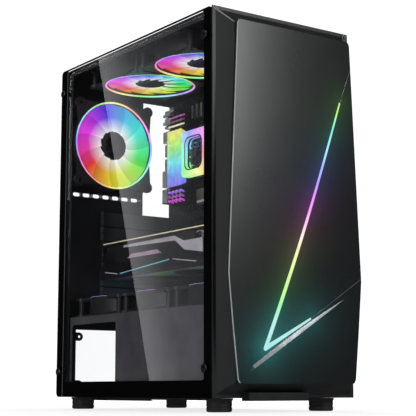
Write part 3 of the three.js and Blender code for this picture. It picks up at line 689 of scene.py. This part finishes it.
def light_outline(margin):
    """The V of the light guide: a long limb up and a short limb out of one corner."""
    corner_half = LIGHT_HALF["corner"] + margin
    up = (LIGHT_TOP - LIGHT_CORNER).normalized()
    out = (LIGHT_END - LIGHT_CORNER).normalized()
    long_right, long_left = bowed(LIGHT_CORNER, LIGHT_TOP + up * margin, LIGHT_BOW,
                                  corner_half, LIGHT_HALF["top"] + margin, LIGHT_STEPS)
    short_right, short_left = bowed(LIGHT_CORNER, LIGHT_END + out * margin, 0,
                                    corner_half, LIGHT_HALF["end"] + margin, 4)
    mitre = (up + out).normalized()
    reach = corner_half / math.sin(up.angle(out) / 2)
    first = math.degrees(math.atan2(up.x, -up.y))
    last = math.degrees(math.atan2(-out.x, out.y))
    turn = arc(*LIGHT_CORNER, corner_half, first, first + (last - first) % 360, 8)
    inner = tuple(LIGHT_CORNER + mitre * reach)
    beyond = [p for p in short_left if (Vector(p) - LIGHT_CORNER).length > reach + 1]
    above = [p for p in long_right if (Vector(p) - LIGHT_CORNER).length > reach + 1]
    return [*turn, *short_right[1:], *beyond[::-1], inner, *above, *long_left[::-1][:-1]]


def pocket_sections():
    """Sections along the pocket's lower edge: edge, foot of the bright slope, upper edge, depth."""
    along = (POCKET_END - POCKET_TIP).normalized()
    side = Vector((-along.y, along.x))
    length = (POCKET_END - POCKET_TIP).length
    near_tip = POCKET_TIP + along * 7
    found = [
        (POCKET_TIP, POCKET_TIP.lerp(POCKET_LEFT, 0.04), POCKET_LEFT, 0.02),
        (near_tip, near_tip + along + side * 3.2, POCKET_LEFT + Vector((1.5, -0.4)), 2.4),
    ]
    for share, slope, width, depth in POCKET_SHAPE:
        edge = POCKET_TIP + along * length * share
        found.append((edge, edge + side * slope, edge + side * width, depth))
    return found


def cut_out(piece, bm, name):
    """Takes the solid in bm out of a piece; the cut faces keep their material numbers."""
    bmesh.ops.recalc_face_normals(bm, faces=bm.faces)
    mesh = bpy.data.meshes.new(name)
    bm.to_mesh(mesh)
    bm.free()
    tool = link(name, mesh)
    cut = piece.modifiers.new("cut", "BOOLEAN")
    cut.object = tool
    cut.solver = "EXACT"
    graph = bpy.context.evaluated_depsgraph_get()
    whole = bpy.data.meshes.new_from_object(piece.evaluated_get(graph))
    piece.modifiers.clear()
    piece.data = whole
    bpy.data.objects.remove(tool)


def fascia_heights():
    """Heights of the fascia's rings: every 8 mm, and closer where its outline turns."""
    low, high = FASCIA_SIDE[0][0], FASCIA_SIDE[-1][0]
    turns = [low, low + 0.9, 31.4, 33, 35, 147, 420, 422, 424, 425.6, high - 0.9, high]
    return sorted({*turns, *[35 + 8 * i for i in range(1, 48)]})


def fascia_body(edge_highlight_look):
    """A crowned plate that follows the fascia's outline, with six short posts behind it."""
    bm = bmesh.new()
    heights = fascia_heights()
    loops = []
    columns = 28
    for z in heights:
        half = fascia_half(z)
        ends = z in (heights[0], heights[-1])
        inner = half - FASCIA_EDGE
        points = []
        for i in range(columns + 1):
            x = inner * (2 * i / columns - 1)
            points.append((x, fascia_front(x) + (FASCIA_EDGE if ends else 0), z))
        y = fascia_front(half) + FASCIA_EDGE
        points += [(half, y, z), (half, FASCIA_BACK, z), (-half, FASCIA_BACK, z), (-half, y, z)]
        loops.append(points)
    loft(bm, loops)
    # The bevel of each side, between the crowned face and the flat side, is paler: a painted highlight of the
    # fascia's edge
    bm.faces.ensure_lookup_table()
    around = len(loops[0])
    for row in range(1, len(loops) - 2):
        bm.faces[row * around + columns].material_index = edge_highlight_look
        bm.faces[row * around + around - 1].material_index = edge_highlight_look
    post = [(POST_RADIUS, FASCIA_BACK - 1), (POST_RADIUS, FASCIA_HIGH.y)]
    for x in (-78.8, 78.8):
        for z in (70, 230, 390):
            turned(bm, on_y, post, (x, z), sides=16)
    return bm


def limb_distance(look, start, end):
    """Distance on the fascia from a limb of the light, in millimetres."""
    a, b = at(start.x, 0, start.y), at(end.x, 0, end.y)
    along = (b - a).normalized()
    flat = look.vector("MULTIPLY", look.vector("SUBTRACT", look.place, a), (1, 0, 1))
    reach = look.math("DIVIDE", look.vector("DOT_PRODUCT", flat, along), MM)
    held = look.math("MINIMUM", look.math("MAXIMUM", reach, 0.0), (b - a).length / MM)
    nearest = look.scaled(tuple(along), look.math("MULTIPLY", held, MM))
    return look.math("DIVIDE", look.vector("LENGTH", look.vector("SUBTRACT", flat, nearest)), MM)


LIGHT_COLOURS = [
    (0.0, (0.34, 0.68, 0.70)), (0.11, (0.40, 0.72, 0.68)), (0.17, (0.28, 0.80, 0.30)),
    (0.25, (0.52, 0.86, 0.26)), (0.35, (0.80, 0.82, 0.38)), (0.44, (0.90, 0.72, 0.66)),
    (0.52, (0.86, 0.36, 0.80)), (0.60, (0.74, 0.24, 0.86)), (0.66, (0.42, 0.28, 0.95)),
    (0.72, (0.30, 0.42, 0.95)), (0.80, (0.34, 0.72, 0.90)), (0.88, (0.18, 0.78, 0.66)),
    (0.95, (0.42, 0.78, 0.20)), (1.0, (0.55, 0.72, 0.22)),
]
# Colours of the painted glow round the light on the fascia, from the light's corner to its top
HALO_COLOURS = [
    (0.0, (0.05, 0.36, 0.36)), (0.12, (0.03, 0.36, 0.30)), (0.22, (0.06, 0.26, 0.06)),
    (0.36, (0.20, 0.22, 0.06)), (0.46, (0.30, 0.12, 0.14)), (0.56, (0.34, 0.04, 0.38)),
    (0.66, (0.10, 0.08, 0.40)), (0.76, (0.03, 0.14, 0.30)), (0.86, (0.02, 0.22, 0.16)),
    (1.0, (0.06, 0.20, 0.03)),
]


def light_height(look):
    """0 at the light's corner and 1 at its top."""
    return look.fade(look.axis(2), LIGHT_CORNER.y * MM, LIGHT_TOP.y * MM)


def halo_share(look, end, reach):
    """How much of a limb's painted halo reaches the surface: it falls to a third over reach millimetres."""
    away = limb_distance(look, LIGHT_CORNER, end)
    return look.math("EXPONENT", look.math("MULTIPLY", away, -1 / reach))


def fascia_look():
    """Dark satin plastic with a painted coloured halo round the light set into it, standing in for the glow
    that light casts on it.
    """
    look = grained("fascia_plastic", (0.008, 0.009, 0.0095), 0.28, grain=0.35, depth=0.003,
                   tone=0.04, edge=0.0, patchy=0.008)
    colour = look.ramp(light_height(look), HALO_COLOURS)
    # Painted light: the halo round each limb is emission in the fascia's own surface
    long_halo = look.scaled(colour, halo_share(look, LIGHT_TOP, 15))
    short_halo = look.scaled((0.04, 0.30, 0.30), halo_share(look, LIGHT_END, 17))
    speck = look.fade(look.noise(1.2, 3), 0.3, 0.7, 0.8, 1.2)
    look.glow(look.scaled(look.vector("ADD", long_halo, short_halo), speck), 0.24)
    return look


def make_front():
    """The crowned fascia with a slot for its light and a pocket with one bright slope beside it; the slope's
    pale metal is a painted highlight.
    """
    satin, slope, bevel = 0, 1, 2
    # Painted highlight: the pocket's lit slope wears pale teal-grey metal where the dark moulding catches the
    # light
    facet = brushed("slope_painted_highlight", (0.30, 0.33, 0.34), 0.48, (6, 6, 1))
    # Painted highlight: the side bevels wear a pale grey where the fascia's edge catches the light
    rim = grained("rim_painted_highlight", (0.32, 0.325, 0.33), 0.3, grain=0.4, depth=0.003, edge=0.0)
    piece = new_piece("crowned_fascia", fascia_body(bevel), [fascia_look(), facet, rim], "front",
                      ["front_fascia"])
    slot = bmesh.new()
    plate(slot, on_y, light_outline(0.3), [], FASCIA_Y - 2, FASCIA_BACK + 2, satin)
    cut_out(piece, slot, "light_slot")
    pocket = bmesh.new()
    rings = []
    for edge, foot, upper, depth in pocket_sections():
        rings.append([
            (edge.x, fascia_front(edge.x), edge.y),
            (foot.x, fascia_front(foot.x) + depth, foot.y),
            (upper.x, fascia_front(upper.x), upper.y),
            (upper.x, FASCIA_Y - 2, upper.y),
            (edge.x, FASCIA_Y - 2, edge.y),
        ])
    loft(pocket, rings, satin)
    pocket.faces.ensure_lookup_table()
    for i in range(1, len(rings) - 1):
        pocket.faces[i * len(rings[0])].material_index = slope
    cut_out(piece, pocket, "light_pocket")
    finish_piece(piece, 0, 24)
    make_front_light()
    make_seams()
    make_mitre_highlights()


def make_front_light():
    look = Look("front_light", (0.05, 0.06, 0.06), 0.3)
    core = look.fade(look.noise(14, 2), 0.3, 0.7, 0.92, 1.08)
    look.glow(look.scaled(look.ramp(light_height(look), LIGHT_COLOURS), core), 1.15)
    bm = bmesh.new()
    plate(bm, on_y, light_outline(0), [], lambda u, v: fascia_front(u) + 0.1, FASCIA_BACK)
    new_piece("light_guide_v", bm, [look], "front", ["led_light_guide"])


def make_seams():
    """Fine bright inlays that carry the light's two limbs on to the fascia's edge."""
    look = brushed("seam_metal", (0.35, 0.36, 0.37), 0.35, (4, 4, 1))
    shallow = FASCIA_Y + 0.02
    bm = bmesh.new()
    for start, end in SEAMS:
        right, left = bowed(Vector(start), Vector(end), 0, 0.3, 0.25, 6)
        plate(bm, on_y, right + left[::-1], [], lambda u, v: max(fascia_front(u) - 0.12, shallow),
              lambda u, v: fascia_front(u) + 0.4)
    new_piece("fascia_seams", bm, [look], "front")


def make_mitre_highlights():
    """Two pale bars that run down each upper mitre of the bezel and meet at its mouth: a painted highlight of
    the mitres' edges.
    """
    low, high = span("front_bezel")
    rim_face = -2.1
    radius = 0.35
    bm = bmesh.new()
    for way in (-1, 1):
        mouth = Vector((way * (high.x - BEZEL_MOUTH), low.y, high.z - BEZEL_MOUTH - 2))
        for aside in (0, 3.6):
            corner = Vector((way * (high.x - 0.7 - aside), rim_face, high.z - 0.7))
            step = Vector((way * (high.x - BEZEL_RIM - aside), rim_face, high.z - BEZEL_RIM))
            crease_line(bm, corner, step, radius)
            crease_line(bm, step, mouth, radius)
    # Painted highlight: pale bars where the bezel's facet edges catch the light
    pale = grained("mitre_painted_highlight", (0.30, 0.305, 0.31), 0.35, grain=0.4, depth=0.003, edge=0.0)
    new_piece("bezel_mitre_highlights", bm, [pale], "front")


def crease_line(bm, start, end, radius):
    """A thin straight bar from one point to another."""
    along = (end - start).normalized()
    across = along.cross(Vector((0, 1, 0))).normalized()
    up = along.cross(across)
    corners = [across, up, -across, -up]
    loft(bm, [[point + corner * radius for corner in corners] for point in (start, end)])


# ---- fans

# Where the hues start round a fan, as shares of a turn, by the way they run
BLADE_PHASE = {1: 0.89, -1: 1.14 - 125.2 / 360}
RIM_PHASE = {1: 2 / 3, -1: 5 / 12 - 2 * 125.2 / 360}
FAN_HALF_THICK = 12.5
BLADE_COUNT = 11
BLADE_WIDTH = 50
BLADE_SWEEP = 24
BLADE_PITCH = 4.5


def facing_front(u, v, d):
    return u, -d, v


def facing_down(u, v, d):
    return u, -v, -d


def facing_glass(u, v, d):
    return -d, u, v


# How each kind of fan lies: its own axes, their order in the frame, and which way its hues run
FAN_KINDS = {
    "rear": (facing_front, "XZY", 1),
    "top": (facing_down, "XYZ", -1),
    "shroud": (on_z, "XYZ", 1),
}


def blade_look(name, centre, order, way, hub, tip):
    """Milky blades with a painted glow of the rim's light: one turn of hue round the fan, paler towards the
    hub.
    """
    look = Look(name, (0.3, 0.3, 0.3), 0.3)
    about = axes_from(look, centre, order)
    flat = look.vector("MULTIPLY", about, (1, 1, 0))
    radius = look.math("DIVIDE", look.vector("LENGTH", flat), MM)
    full = look.fade(radius, hub + 1, hub + (tip - hub) * 0.52, 0.1, 0.95)
    colour = wheel_colour(look, about, way, BLADE_PHASE[way], full)
    # Painted shade: each blade's glow dims towards one edge, where the next one lies over it
    turn = look.add("ShaderNodeTexGradient", {0: about}, gradient_type="RADIAL").outputs["Fac"]
    lean = look.math("MULTIPLY", radius, -0.7 / tip)
    swirl = look.math("ADD", look.math("MULTIPLY", turn, BLADE_COUNT), lean)
    overlap_shade = look.fade(look.math("FRACT", swirl), 0.0, 1.0, 0.72, 1.05)
    level = look.math("MULTIPLY", overlap_shade, look.fade(radius, hub, tip, 0.9, 0.75))
    look.set(look.shader, "Base Color", look.scaled(colour, 0.2))
    # Painted light: the blades glow by emission, a little dimmer towards the tips
    look.glow(look.scaled(colour, level), 0.95)
    return look


def ring_look(name, centre, order, way):
    """The lit rim: two turns of hue round the fan."""
    look = Look(name, (0.4, 0.4, 0.4), 0.3)
    about = axes_from(look, centre, order)
    dots = look.fade(look.noise(5, 1), 0.3, 0.7, 0.85, 1.1)
    look.glow(look.scaled(wheel_colour(look, about, way * 2, RIM_PHASE[way], 0.72), dots), 1.0)
    return look


def on_ring(radius, turn):
    """A point at an angle in degrees round a fan."""
    return radius * math.cos(math.radians(turn)), radius * math.sin(math.radians(turn))


def fan_frame_mesh(size, place):
    """A round duct with four lobed ears at each end, posts between them, and arms to a motor cup."""
    half = size / 2
    back, face = -FAN_HALF_THICK, FAN_HALF_THICK
    bore = half - 2
    ear, ear_hole, ear_thick = 7.3, 2.2, 4
    arm_half, arm_thick = 2.0, 3
    bm = bmesh.new()
    duct = [(half - 0.4, back), (half - 0.4, face - 0.6), (half - 0.9, face - 0.1), (bore + 1.0, face - 0.1),
            (bore, face - 2), (bore, back + 3), (bore + 1.2, back)]
    turned(bm, place, duct, sides=96, ring=True)
    for turn in (45, 135, 225, 315):
        c = on_ring((half - 7.5) * math.sqrt(2), turn)
        lobe = arc(*c, ear, turn - 100, turn + 100, 14)
        root = [on_ring(half - 1, turn + aside) for aside in (24, 12, 0, -12, -24)]
        for near, far in [(back, back + ear_thick), (face - ear_thick, face)]:
            plate(bm, place, lobe + root, [circle(*c, ear_hole, 16)], near, far)
        turned(bm, place, [(4.2, back + 3), (4.2, face - 3)], c, sides=20)
        arm = []
        for i in range(9):
            r = size * 0.14 + (bore + 0.5 - size * 0.14) * i / 8
            arm.append(on_ring(r, turn + 16 * math.sin(math.pi * i / 16) + 20))
        aside = Vector((-arm[0][1], arm[0][0])).normalized() * arm_half
        left = [(x + aside.x, y + aside.y) for x, y in arm]
        right = [(x - aside.x, y - aside.y) for x, y in arm]
        plate(bm, place, left + right[::-1], [], back, back + arm_thick)
    cup = size * 0.155
    turned(bm, place, [(cup - 1, back), (cup, back + 0.8), (cup, back + 3)])
    return bm


def led_ring_mesh(size, place):
    """A thin lit ring round the mouth of a fan."""
    bore = size / 2 - 2
    bm = bmesh.new()
    turned(bm, place, [(bore - 0.9, 11.2), (bore - 0.7, 12.5), (bore + 1.2, 12.5), (bore + 1.4, 11.6),
                       (bore - 0.1, 10.6)], sides=120, ring=True)
    return bm


def rotor_mesh(place, hub, tip, height, blades, width, sweep, pitch, thick=1.0, lift=0.0):
    """A dished hub and swept blades, each a lofted strip that twists from the hub to the tip."""
    bm = bmesh.new()
    top = height / 2
    dish = [(hub * 0.25, top - 0.5), (hub * 0.72, top - 0.4), (hub - 1.6, top), (hub - 0.5, top - 0.3),
            (hub, top - 1.2), (hub, -top + 1), (hub - 1, -top)]
    turned(bm, place, dish)
    across, out = 6, 7
    for blade in range(blades):
        start = 360 / blades * blade
        loops = []
        for k in range(out + 1):
            share = k / out
            r = hub - 1 + (tip - hub + 1) * share
            lean = sweep * share ** 1.6
            reach = width * (1 - 0.1 * share)
            rise = pitch * (1 - 0.25 * share)
            upper, lower = [], []
            for i in range(across + 1):
                s = i / across - 0.5
                turn = math.radians(start + lean + reach * s)
                depth = lift + rise * (s + 0.12 * math.cos(math.pi * s)) * 0.96
                half = thick / 2 * (1.2 - share * 0.5) * (1 - abs(2 * s) ** 3 * 0.6)
                upper.append((r * math.cos(turn), r * math.sin(turn), depth + half))
                lower.append((r * math.cos(turn), r * math.sin(turn), depth - half))
            loops.append([place(*p) for p in upper + lower[::-1]])
        loft(bm, loops, look=1)
    return bm


def make_case_fans():
    shell = grained("fan_plastic", (0.03, 0.03, 0.032), 0.42, grain=0.4, depth=0.01)
    hub_look = grained("fan_hub", (0.008, 0.008, 0.009), 0.25, grain=0.4, depth=0.005)
    for node in [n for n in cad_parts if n.endswith("_frame") and "_fan" in n]:
        name = node[:-len("_frame")]
        low, high = span(node)
        axes, order, way = FAN_KINDS[name.split("_")[0]]
        centre = tuple((low + high) / 2)
        size = high.x - low.x
        place = moved_fan(axes, centre)
        hub, tip = size * 0.165, size / 2 - 3.2
        new_piece(f"{name}_shell", fan_frame_mesh(size, place), [shell], "chassis", [node],
                  bevel=0.4)
        rim = ring_look(f"{name}_rim_light", centre, order, way)
        new_piece(f"{name}_light", led_ring_mesh(size, place), [rim], "chassis")
        blades = blade_look(f"{name}_blades", centre, order, way, hub, tip)
        wheel = rotor_mesh(place, hub, tip, 19, BLADE_COUNT, BLADE_WIDTH, BLADE_SWEEP, BLADE_PITCH, lift=7)
        new_piece(f"{name}_wheel", wheel, [hub_look, blades], f"{name}_rotor", [f"{name}_rotor"])


def moved_fan(axes, centre):
    """A fan's own axes about its centre."""
    return lambda u, v, d: tuple(a + b for a, b in zip(axes(u, v, d), centre))


# ---- memory and cooler

# Colours up a memory module: dark with magenta stripes at both ends
RAM_COLOURS = [
    (0.0, (0.45, 0.02, 0.5)), (0.07, (0.5, 0.02, 0.5)), (0.1, (0.02, 0.01, 0.03)), (0.14, (0.3, 0.1, 0.8)),
    (0.22, (0.16, 0.12, 0.85)), (0.32, (0.1, 0.3, 0.9)), (0.42, (0.08, 0.6, 0.85)), (0.5, (0.12, 0.75, 0.6)),
    (0.58, (0.2, 0.75, 0.15)), (0.68, (0.5, 0.8, 0.08)), (0.78, (0.85, 0.8, 0.1)), (0.86, (0.85, 0.75, 0.5)),
    (0.9, (0.02, 0.01, 0.02)), (1.0, (0.6, 0.03, 0.5)),
]


def ram_light_look(low, high):
    """Lit plastic whose colour changes with height."""
    look = Look("ram_light", (0.3, 0.3, 0.3), 0.35)
    share = look.fade(look.axis(2), low.z * MM, high.z * MM)
    cloud = look.fade(look.noise(9, 2), 0.3, 0.7, 0.75, 1.1)
    look.glow(look.scaled(look.ramp(share, RAM_COLOURS), cloud), 0.95)
    return look


def make_ram():
    """Memory modules: two spreader plates round a board, with a lit bar and striped lit ends."""
    first_low, first_high = span("ram_module_1")
    light = ram_light_look(first_low, first_high)
    body = brushed("ram_spreader", (0.03, 0.03, 0.033), 0.35, (1, 1, 10))
    gold = brushed("contact_gold", (0.6, 0.42, 0.16), 0.3, (1, 1, 6))
    bar_end = 24
    spreaders = (-3.3, 1.1)
    thick = 2.2
    for node in [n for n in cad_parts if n.startswith("ram_module")]:
        low, high = span(node)
        middle = (low.y + high.y) / 2
        x0 = low.x
        bm = bmesh.new()
        side = [(x0 + 9, low.z), (high.x - 2, low.z), (high.x - 2, high.z), (x0 + 9, high.z),
                (x0 + 6, high.z - 6), (x0 + 6, high.z - 22), (x0 + 10, high.z - 26),
                (x0 + 10, low.z + 26), (x0 + 6, low.z + 22), (x0 + 6, low.z + 6)]
        for aside in spreaders:
            plate(bm, on_y, side, [], middle + aside, middle + aside + thick, 0)
        block(bm, (x0 + 3, middle - 0.7, low.z + 1), (high.x, middle + 0.7, high.z - 1), 0)
        block(bm, (high.x - 3, middle - 0.75, low.z + 4), (high.x - 0.5, middle + 0.75, high.z - 4), 2)
        bar = [(x0, low.z + bar_end), (x0 + 8.5, low.z + bar_end + 4), (x0 + 8.5, high.z - bar_end - 4),
               (x0, high.z - bar_end)]
        plate(bm, on_y, bar, [], middle - 3.4, middle + 3.4, 1)
        for i in range(3):
            for start, way in ((high.z - 19 + 6 * i, 1), (low.z + 19 - 6 * i, -1)):
                stripe = [(x0 + 1, start), (x0 + 7, start + 2 * way), (x0 + 7, start + 4.4 * way),
                          (x0 + 1, start + 2.4 * way)]
                plate(bm, on_y, stripe, [], middle - 2.6, middle + 2.6, 1)
        new_piece(f"{node}_lit", bm, [body, light, gold], "chassis", [node], bevel=0.25)


def cooler_light_look(centre):
    """One turn of hue round the cooler's frame."""
    look = Look("cooler_light", (0.3, 0.3, 0.3), 0.35)
    wheel = wheel_colour(look, axes_from(look, tuple(centre), "YZX"), 1, 0.97, 0.7)
    look.glow(look.scaled(wheel, look.fade(look.noise(8, 2), 0.3, 0.7, 0.8, 1.1)), 0.95)
    return look


def make_cooler():
    """A lit square frame in three layers round a dark window with a small rotor in it."""
    low, high = span("cpu_cooler_frame")
    centre = (low + high) / 2
    black = grained("cooler_black", (0.012, 0.012, 0.014), 0.35, grain=0.4, depth=0.01)
    y0, y1, z0, z1 = low.y, high.y, low.z, high.z

    def square(inset, radius, taller=0.0):
        tall = inset + taller
        return rounded(y0 + inset, y1 - inset, z0 + tall, z1 - tall, radius, 8)

    lit, dark = 0, 1
    window = square(9, 9, 1)
    bm = bmesh.new()
    plate(bm, on_x, square(0, 6), [window], low.x, low.x + 4, lit)
    plate(bm, on_x, rounded(y0 + 1.5, y1 - 1.5, z0 + 1.5, z1 - 1.5, 5), [window], low.x + 4, low.x + 7, dark)
    plate(bm, on_x, square(0, 6), [window], low.x + 7, high.x - 1, lit)
    plate(bm, on_x, square(7.2, 10, 1), [square(8.8, 9, 1)], low.x - 0.4, low.x + 0.6, dark)
    block(bm, (high.x - 1.4, y0 + 4, centre.z - 1.5), (high.x, y1 - 4, centre.z + 1.5), dark)
    turned(bm, on_x, [(8, high.x - 1.5), (8, high.x)], (centre.y, centre.z), dark)
    new_piece("cooler_lit_frame", bm, [cooler_light_look(centre), black], "chassis",
              ["cpu_cooler_frame"], bevel=0.3)
    low, high = span("cpu_fan_rotor")
    rotor = grained("small_rotor", (0.03, 0.02, 0.035), 0.3, grain=0.4, depth=0.005)
    place = moved_fan(facing_glass, (low + high) / 2)
    new_piece("cpu_fan_wheel", rotor_mesh(place, 7, 17.4, 6, 7, 44, 14, 3, 0.8), [rotor, rotor],
              "cpu_fan_rotor", ["cpu_fan_rotor"])


# ---- motherboard

BOARD_THICK = 1.6


# Looks of the board's parts
BARE, PLASTIC, METAL, PALE = range(4)
SLOT_PITCH = 20.32
MEMORY_Y = (275.8, 284.8, 293.8, 302.8)


def board_part(bm, height, y0, y1, z0, z1, look=PLASTIC):
    """A block that stands on the board's face."""
    face = span("motherboard")[1].x - BOARD_THICK
    block(bm, (face - height, y0, z0), (face + 0.4, y1, z1), look)


def memory_sockets(bm):
    for y in MEMORY_Y:
        for z in (266, 399):
            board_part(bm, 9, y - 3.2, y + 3.2, z, z + 5)
        board_part(bm, 6, y - 3.4, y + 3.4, 271, 399)


def board_heatsinks(bm):
    """The processor's socket, and finned blocks above it, beside it and over the chipset."""
    board_part(bm, 2.6, 222, 266, 314, 358, METAL)
    for i in range(12):
        board_part(bm, 14 + 6 * (i % 2), 200 + i * 5.2, 203.6 + i * 5.2, 386, 404, METAL)
    board_part(bm, 10, 200, 262, 386, 404, METAL)
    for i in range(5):
        board_part(bm, 14 + 3 * (i % 2), 312, 336, 385 + i * 5.4, 389 + i * 5.4, METAL)
    board_part(bm, 10, 312, 336, 385, 412, METAL)
    board_part(bm, 6, 112, 152, 178, 218, METAL)
    for i in range(6):
        board_part(bm, 7, 114 + i * 6.4, 118 + i * 6.4, 180, 216, METAL)


def board_ports(bm):
    """Stacked rear ports, each a metal shell with a plastic mouth."""
    for height, z0, z1 in [(12, 366, 382), (9, 347, 364), (9, 328, 344), (13, 303, 326), (13, 280, 300)]:
        board_part(bm, height, 328, 343, z0, z1, METAL)
        board_part(bm, height - 2, 326.6, 328.2, z0 + 1, z1 - 1)


def board_sockets(bm):
    """Power, expansion and drive sockets."""
    board_part(bm, 13, 138, 158, 410, 421, PALE)
    board_part(bm, 10, 101, 110, 300, 352)
    for slot in (0, 2, 4, 6):
        z = 255.6 - slot * SLOT_PITCH
        board_part(bm, 6 if slot == 2 else 10, 190, 280, z - 3.5, z + 3.5)
        board_part(bm, 4.5, 280, 286, z - 3, z + 3, PALE if slot == 0 else PLASTIC)
    board_part(bm, 8, 101, 108, 180, 226)
    board_part(bm, 11, 230, 262, 268, 290, METAL)
    board_part(bm, 13, 234, 258, 271, 274, PALE)
    board_part(bm, 5, 285, 305, 240, 258)
    for z in (276, 306):
        board_part(bm, 8, 180, 210, z, z + 10)


def board_small_parts(bm):
    """Capacitor cans, chips and coils in rows."""
    face = span("motherboard")[1].x - BOARD_THICK
    can = [(2.6, face - 7), (3, face - 6.4), (3, face + 0.4)]
    for i in range(8):
        for y, z in [(206 + i * 7.5, 376), (306, 300 + i * 9.5), (120 + i * 9, 240)]:
            turned(bm, on_x, can, (y, z), METAL, sides=16)
    for i in range(9):
        y, z = 120 + (i * 23) % 60, 132 + i * 14
        board_part(bm, 1.4, y, y + 6, z, z + 5)
        board_part(bm, 3.2, 206 + i * 6.6, 211 + i * 6.6, 364, 370)


def make_board():
    low, high = span("motherboard")
    looks = [
        board_look(),
        grained("socket_plastic", (0.02, 0.02, 0.022), 0.45, grain=0.3, depth=0.01),
        brushed("board_metal", (0.32, 0.33, 0.35), 0.38, (1, 8, 1)),
        grained("pale_plastic", (0.62, 0.62, 0.6), 0.4, grain=0.4, depth=0.008),
    ]
    bm = bmesh.new()
    holes = [circle(high.y - dy, high.z - dz, 1.9, 16) for dy in (8, 165, 236) for dz in (6, 163, 290)]
    plate(bm, on_x, rounded(low.y, high.y, low.z, high.z, 2), holes, high.x - BOARD_THICK, high.x, BARE)
    for add_parts in (memory_sockets, board_heatsinks, board_ports, board_sockets, board_small_parts):
        add_parts(bm)
    new_piece("motherboard_detailed", bm, looks, "chassis", ["motherboard"], bevel=0.25)


# ---- graphics card


def strip_light(name, colour, strength):
    """A soft light that varies a little along its length."""
    look = Look(name, colour, 0.4)
    soft = look.fade(look.noise(12, 3), 0.25, 0.75, 0.35, 1.0)
    look.glow(look.scaled(colour, soft), strength)
    return look


def make_card_side():
    """Facets and lit lines on the side of the card's shroud that faces the glass."""
    low, high = span("card_shroud")
    x, rear, top, floor = low.x, high.y - 60, high.z, low.z
    face = low.y + 2
    looks = [
        grained("card_facet", (0.75, 0.74, 0.76), 0.4, 0.1, grain=0.3, depth=0.006),
        grained("card_inset", (0.012, 0.012, 0.014), 0.3, grain=0.4, depth=0.008),
        strip_light("card_line_light", (0.15, 0.6, 0.65), 0.4),
        grained("card_panel", (0.62, 0.46, 0.6), 0.38, grain=0.3, depth=0.006),
    ]
    facet, inset, line, panel = range(4)
    bm = bmesh.new()
    for look, proud, outline in [
        (facet, 1.2, [(face, top - 10), (face, top - 27), (face + 38, top - 21), (face + 58, top - 8),
                      (rear, top - 5), (rear, top - 2), (face + 60, top - 2), (face + 40, top - 10)]),
        (panel, 1.6, [(185, top - 20), (196, top - 15), (256, top - 15), (265, top - 20)]),
        (inset, 0.8, [(110, top - 16), (172, top - 13), (186, top - 24), (290, top - 24), (310, top - 12),
                      (328, top - 12), (322, floor + 8), (290, floor + 4), (120, floor + 4),
                      (104, floor + 12)]),
        (line, 1.4, [(168, floor + 13), (283, floor + 5), (283, floor + 6.2), (168, floor + 14.4)]),
        (facet, 1.4, [(112, floor + 6), (160, floor + 13), (160, floor + 14.2), (110, floor + 7.2)]),
        (facet, 1.4, [(290, floor + 5), (322, floor + 9), (320, floor + 10.4), (290, floor + 6.2)]),
    ]:
        plate(bm, on_x, outline, [], x - proud, x - 0.05, look)
    new_piece("card_side_trim", bm, looks, "chassis", bevel=0.25)


def on_z_crossed(u, v, d):
    """Outline in the plane yx, depth along z."""
    return v, u, d


def make_backplate():
    """The card's backplate with one cut corner, a row of vents and a pale lit edge."""
    low, high = span("card_backplate")
    corner = 8
    vent_pitch, vent_width = 9, 5
    bm = bmesh.new()
    starts = [low.y + 20 + vent_pitch * i for i in range(6)]
    vents = [rounded(y, y + vent_width, low.x + 20, high.x - 20, 2) for y in starts]
    outline = [(low.y, low.x), (high.y - corner, low.x), (high.y, low.x + corner), (high.y, high.x),
               (low.y, high.x)]
    plate(bm, on_z_crossed, outline, vents, low.z, high.z, 0)
    block(bm, (low.x - 0.6, low.y, low.z + 0.1), (low.x - 0.02, high.y - corner, high.z - 0.1), 1)
    coat = grained("backplate_coat", (0.03, 0.03, 0.032), 0.35, 0.6, grain=0.4, depth=0.008)
    pale = strip_light("card_edge_light", (0.85, 0.78, 0.55), 0.5)
    new_piece("card_backplate_cut", bm, [coat, pale], "chassis", ["card_backplate"], bevel=0.2)


def make_card_rotors():
    dark = grained("card_blade", (0.02, 0.02, 0.022), 0.3, grain=0.4, depth=0.005)
    for node in ("card_rotor_front", "card_rotor_rear"):
        low, high = span(node)
        place = moved_fan(facing_down, (low + high) / 2)
        new_piece(f"{node}_wheel", rotor_mesh(place, 14, 39.5, 11, 9, 40, 18, 8), [dark, dark], node,
                  [node])


# ---- top


def make_buttons():
    """Round caps with a flange, a dished top and a fine lit ring."""
    gloss = grained("button_gloss", (0.012, 0.012, 0.013), 0.16, grain=0.6, depth=0.002)
    lit = strip_light("button_ring", (0.7, 0.75, 0.8), 0.5)
    for name in ("power_button", "reset_button"):
        low, high = span(name)
        centre = ((low.x + high.x) / 2, (low.y + high.y) / 2)
        flange = (high.x - low.x) / 2
        r = flange - 1.6
        cap = [(flange, low.z), (flange, low.z + 1.9), (r, low.z + 2.1), (r, high.z - 0.5),
               (r - 0.4, high.z), (r - 1.2, high.z), (r * 0.45, high.z - 0.35)]
        ring = [(r * 0.5, high.z - 0.32), (r * 0.5, high.z - 0.2), (r * 0.4, high.z - 0.2),
                (r * 0.4, high.z - 0.32)]
        bm = bmesh.new()
        turned(bm, on_z, cap, centre, 0, 64)
        turned(bm, on_z, ring, centre, 1, 48, ring=True)
        new_piece(f"{name}_cap", bm, [gloss, lit], name, [name])


def make_all():
    make_feet()
    make_glass()
    make_screws()
    make_front()
    make_case_fans()
    make_ram()
    make_cooler()
    make_board()
    make_card_side()
    make_backplate()
    make_card_rotors()
    make_buttons()


add_camera()
add_studio()
dress_frame()
make_all()
